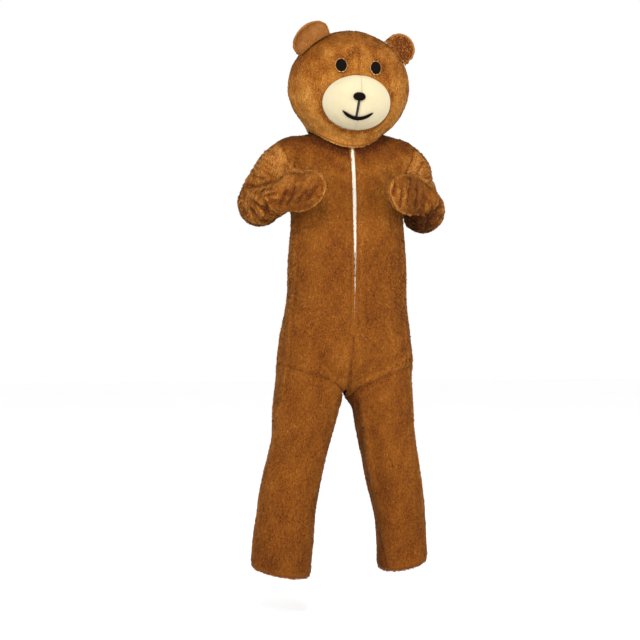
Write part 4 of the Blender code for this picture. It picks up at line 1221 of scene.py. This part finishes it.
# Slider: two plates with the chain between them, narrow below, and a lug each
# side that holds the pin. Towards the wearer is +y.
slider = started(bpy.ops.mesh.primitive_cube_add, (0.0100, 0.0035, 0.0120), size=1,
                 location=(0, 0.0034, -0.002))
bpy.ops.object.mode_set(mode='EDIT')
bpy.ops.mesh.select_all(action='SELECT')
bpy.ops.mesh.subdivide(number_cuts=3)
for way in (1, -1):      # the throats, above and below
    pick_faces(slider, lambda f: f.normal.z * way > 0.9 and abs(f.calc_center_median().y - 0.0034) < 0.0010
               and abs(f.calc_center_median().x) < 0.0040)
    bpy.ops.mesh.inset(thickness=0.0003)
    bpy.ops.mesh.extrude_region_move(TRANSFORM_OT_translate={'value': (0, 0, -way * 0.0035)})
bpy.ops.object.mode_set(mode='OBJECT')
p = points_of(slider.data)
lower = np.clip((-0.002 - p[:, 2]) / 0.006, 0, 1)
p[:, 0] *= 1 - 0.28 * lower**2
front = p[:, 1] < 0.0018
p[front, 1] -= 0.0003 * (1 - (p[front, 0] / 0.005)**2)
move_points(slider.data, p)
apply(slider, 'BEVEL', width=0.0003, segments=2, limit_method='ANGLE', angle_limit=math.radians(40))
lugs = [block((0.0013, 0.0040, 0.0042), (x, 0.0002, 0), 0.0005, 3) for x in (-0.0040, 0.0040)]
pin = started(bpy.ops.mesh.primitive_cylinder_add, vertices=20, radius=0.0006, depth=0.0084,
              rotation=(0, math.pi / 2, 0))
apply(pin, 'BEVEL', width=0.00015, segments=1, limit_method='ANGLE')
finish_metal([slider, *lugs, pin], 'slider', 'zip_slider', 'costume')

# Tab: a flat plate, its grip hollowed and ribbed, with a round eye on the pin.
tab = started(bpy.ops.mesh.primitive_cube_add, (0.0060, 0.0014, 0.0206), size=1, location=(0, 0, -0.0125))
bpy.ops.object.mode_set(mode='EDIT')
for cut in (-0.0048, -0.0080, -0.0210):
    bpy.ops.mesh.select_all(action='SELECT')
    bpy.ops.mesh.bisect(plane_co=(0, 0, cut), plane_no=(0, 0, 1))
pick_faces(tab, lambda f: abs(f.normal.y) > 0.9 and -0.0209 < f.calc_center_median().z < -0.0081)
bpy.ops.mesh.inset(thickness=0.0009)
bpy.ops.transform.shrink_fatten(value=-0.0003)
bpy.ops.object.mode_set(mode='OBJECT')
p = points_of(tab.data)
p[:, 0] *= np.interp(p[:, 2], (-0.0228, -0.0210, -0.0080, -0.0022), (0.80, 1.0, 0.86, 0.74))
move_points(tab.data, p)
apply(tab, 'BEVEL', width=0.00022, segments=2, limit_method='ANGLE', angle_limit=math.radians(35))
eye = started(bpy.ops.mesh.primitive_torus_add, major_radius=0.0015, minor_radius=0.0007,
              major_segments=28, minor_segments=10, rotation=(0, math.pi / 2, 0))
p = points_of(eye.data)
p[:, 0] *= 2.1
p[:, 2] -= 0.0002
move_points(eye.data, p)
ribs = [block((0.0034, 0.0016, 0.0007), (0, 0, z), 0.0002, 2)
        for z in (-0.0185, -0.0165, -0.0145, -0.0125)]
finish_metal([tab, eye, *ribs], 'pull_tab', 'zip_pull', 'pull_tab')

# Stitching down each zip tape, in line with the edge of the front.
sewn = one_stitch(0.0026, 0.0006)
for s, side in ((-1, 'right'), (1, 'left')):
    places = [frame_at(hit + out * 0.0003 + np.array((s * 0.0013, 0, 0)), np.cross(out, (1, 0, 0)), out)
              for hit, out in zip_line('zip_tape_' + side, s * TAPE_OFF)[1::3]]
    repeated('tape_stitches_' + side, sewn, places, cream_thread)
bpy.data.objects.remove(sewn)

# -------------------------------------------------------------------- studio
bpy.ops.mesh.primitive_plane_add(size=24, location=(0, 4, SOLES))
floor = bpy.context.object
floor.name = 'floor'
ground = Finish('floor', Roughness=0.9)
ground.base(ground.mix(ground.noise(0.8), (0.97, 0.97, 0.97, 1), (0.99, 0.99, 0.99, 1)))
floor.data.materials.append(ground.material)

world = bpy.data.worlds.new('studio')
bpy.context.scene.world = world
world.use_nodes = True
world.node_tree.nodes['Background'].inputs['Color'].default_value = (1, 1, 1, 1)
world.node_tree.nodes['Background'].inputs['Strength'].default_value = 1.0


def softbox(place, aim, wide, power):
    """A round soft lamp at a place, aimed at another."""
    bpy.ops.object.light_add(type='AREA', location=place)
    lamp = bpy.context.object
    lamp.data.shape, lamp.data.size, lamp.data.energy = 'DISK', wide, power
    lamp.rotation_euler = (Vector(aim) - Vector(place)).to_track_quat('-Z', 'Y').to_euler()


softbox((-0.6, -3.3, 1.7), (0, 0, -0.1), 1.0, 112)
softbox((0.7, -3.9, -0.2), (0, 0, -0.1), 1.2, 16)
softbox((-2.4, -1.6, 0.2), (-0.2, 0, -0.1), 0.9, 32)
softbox((2.4, -1.6, 0.2), (0.2, 0, -0.1), 0.9, 40)
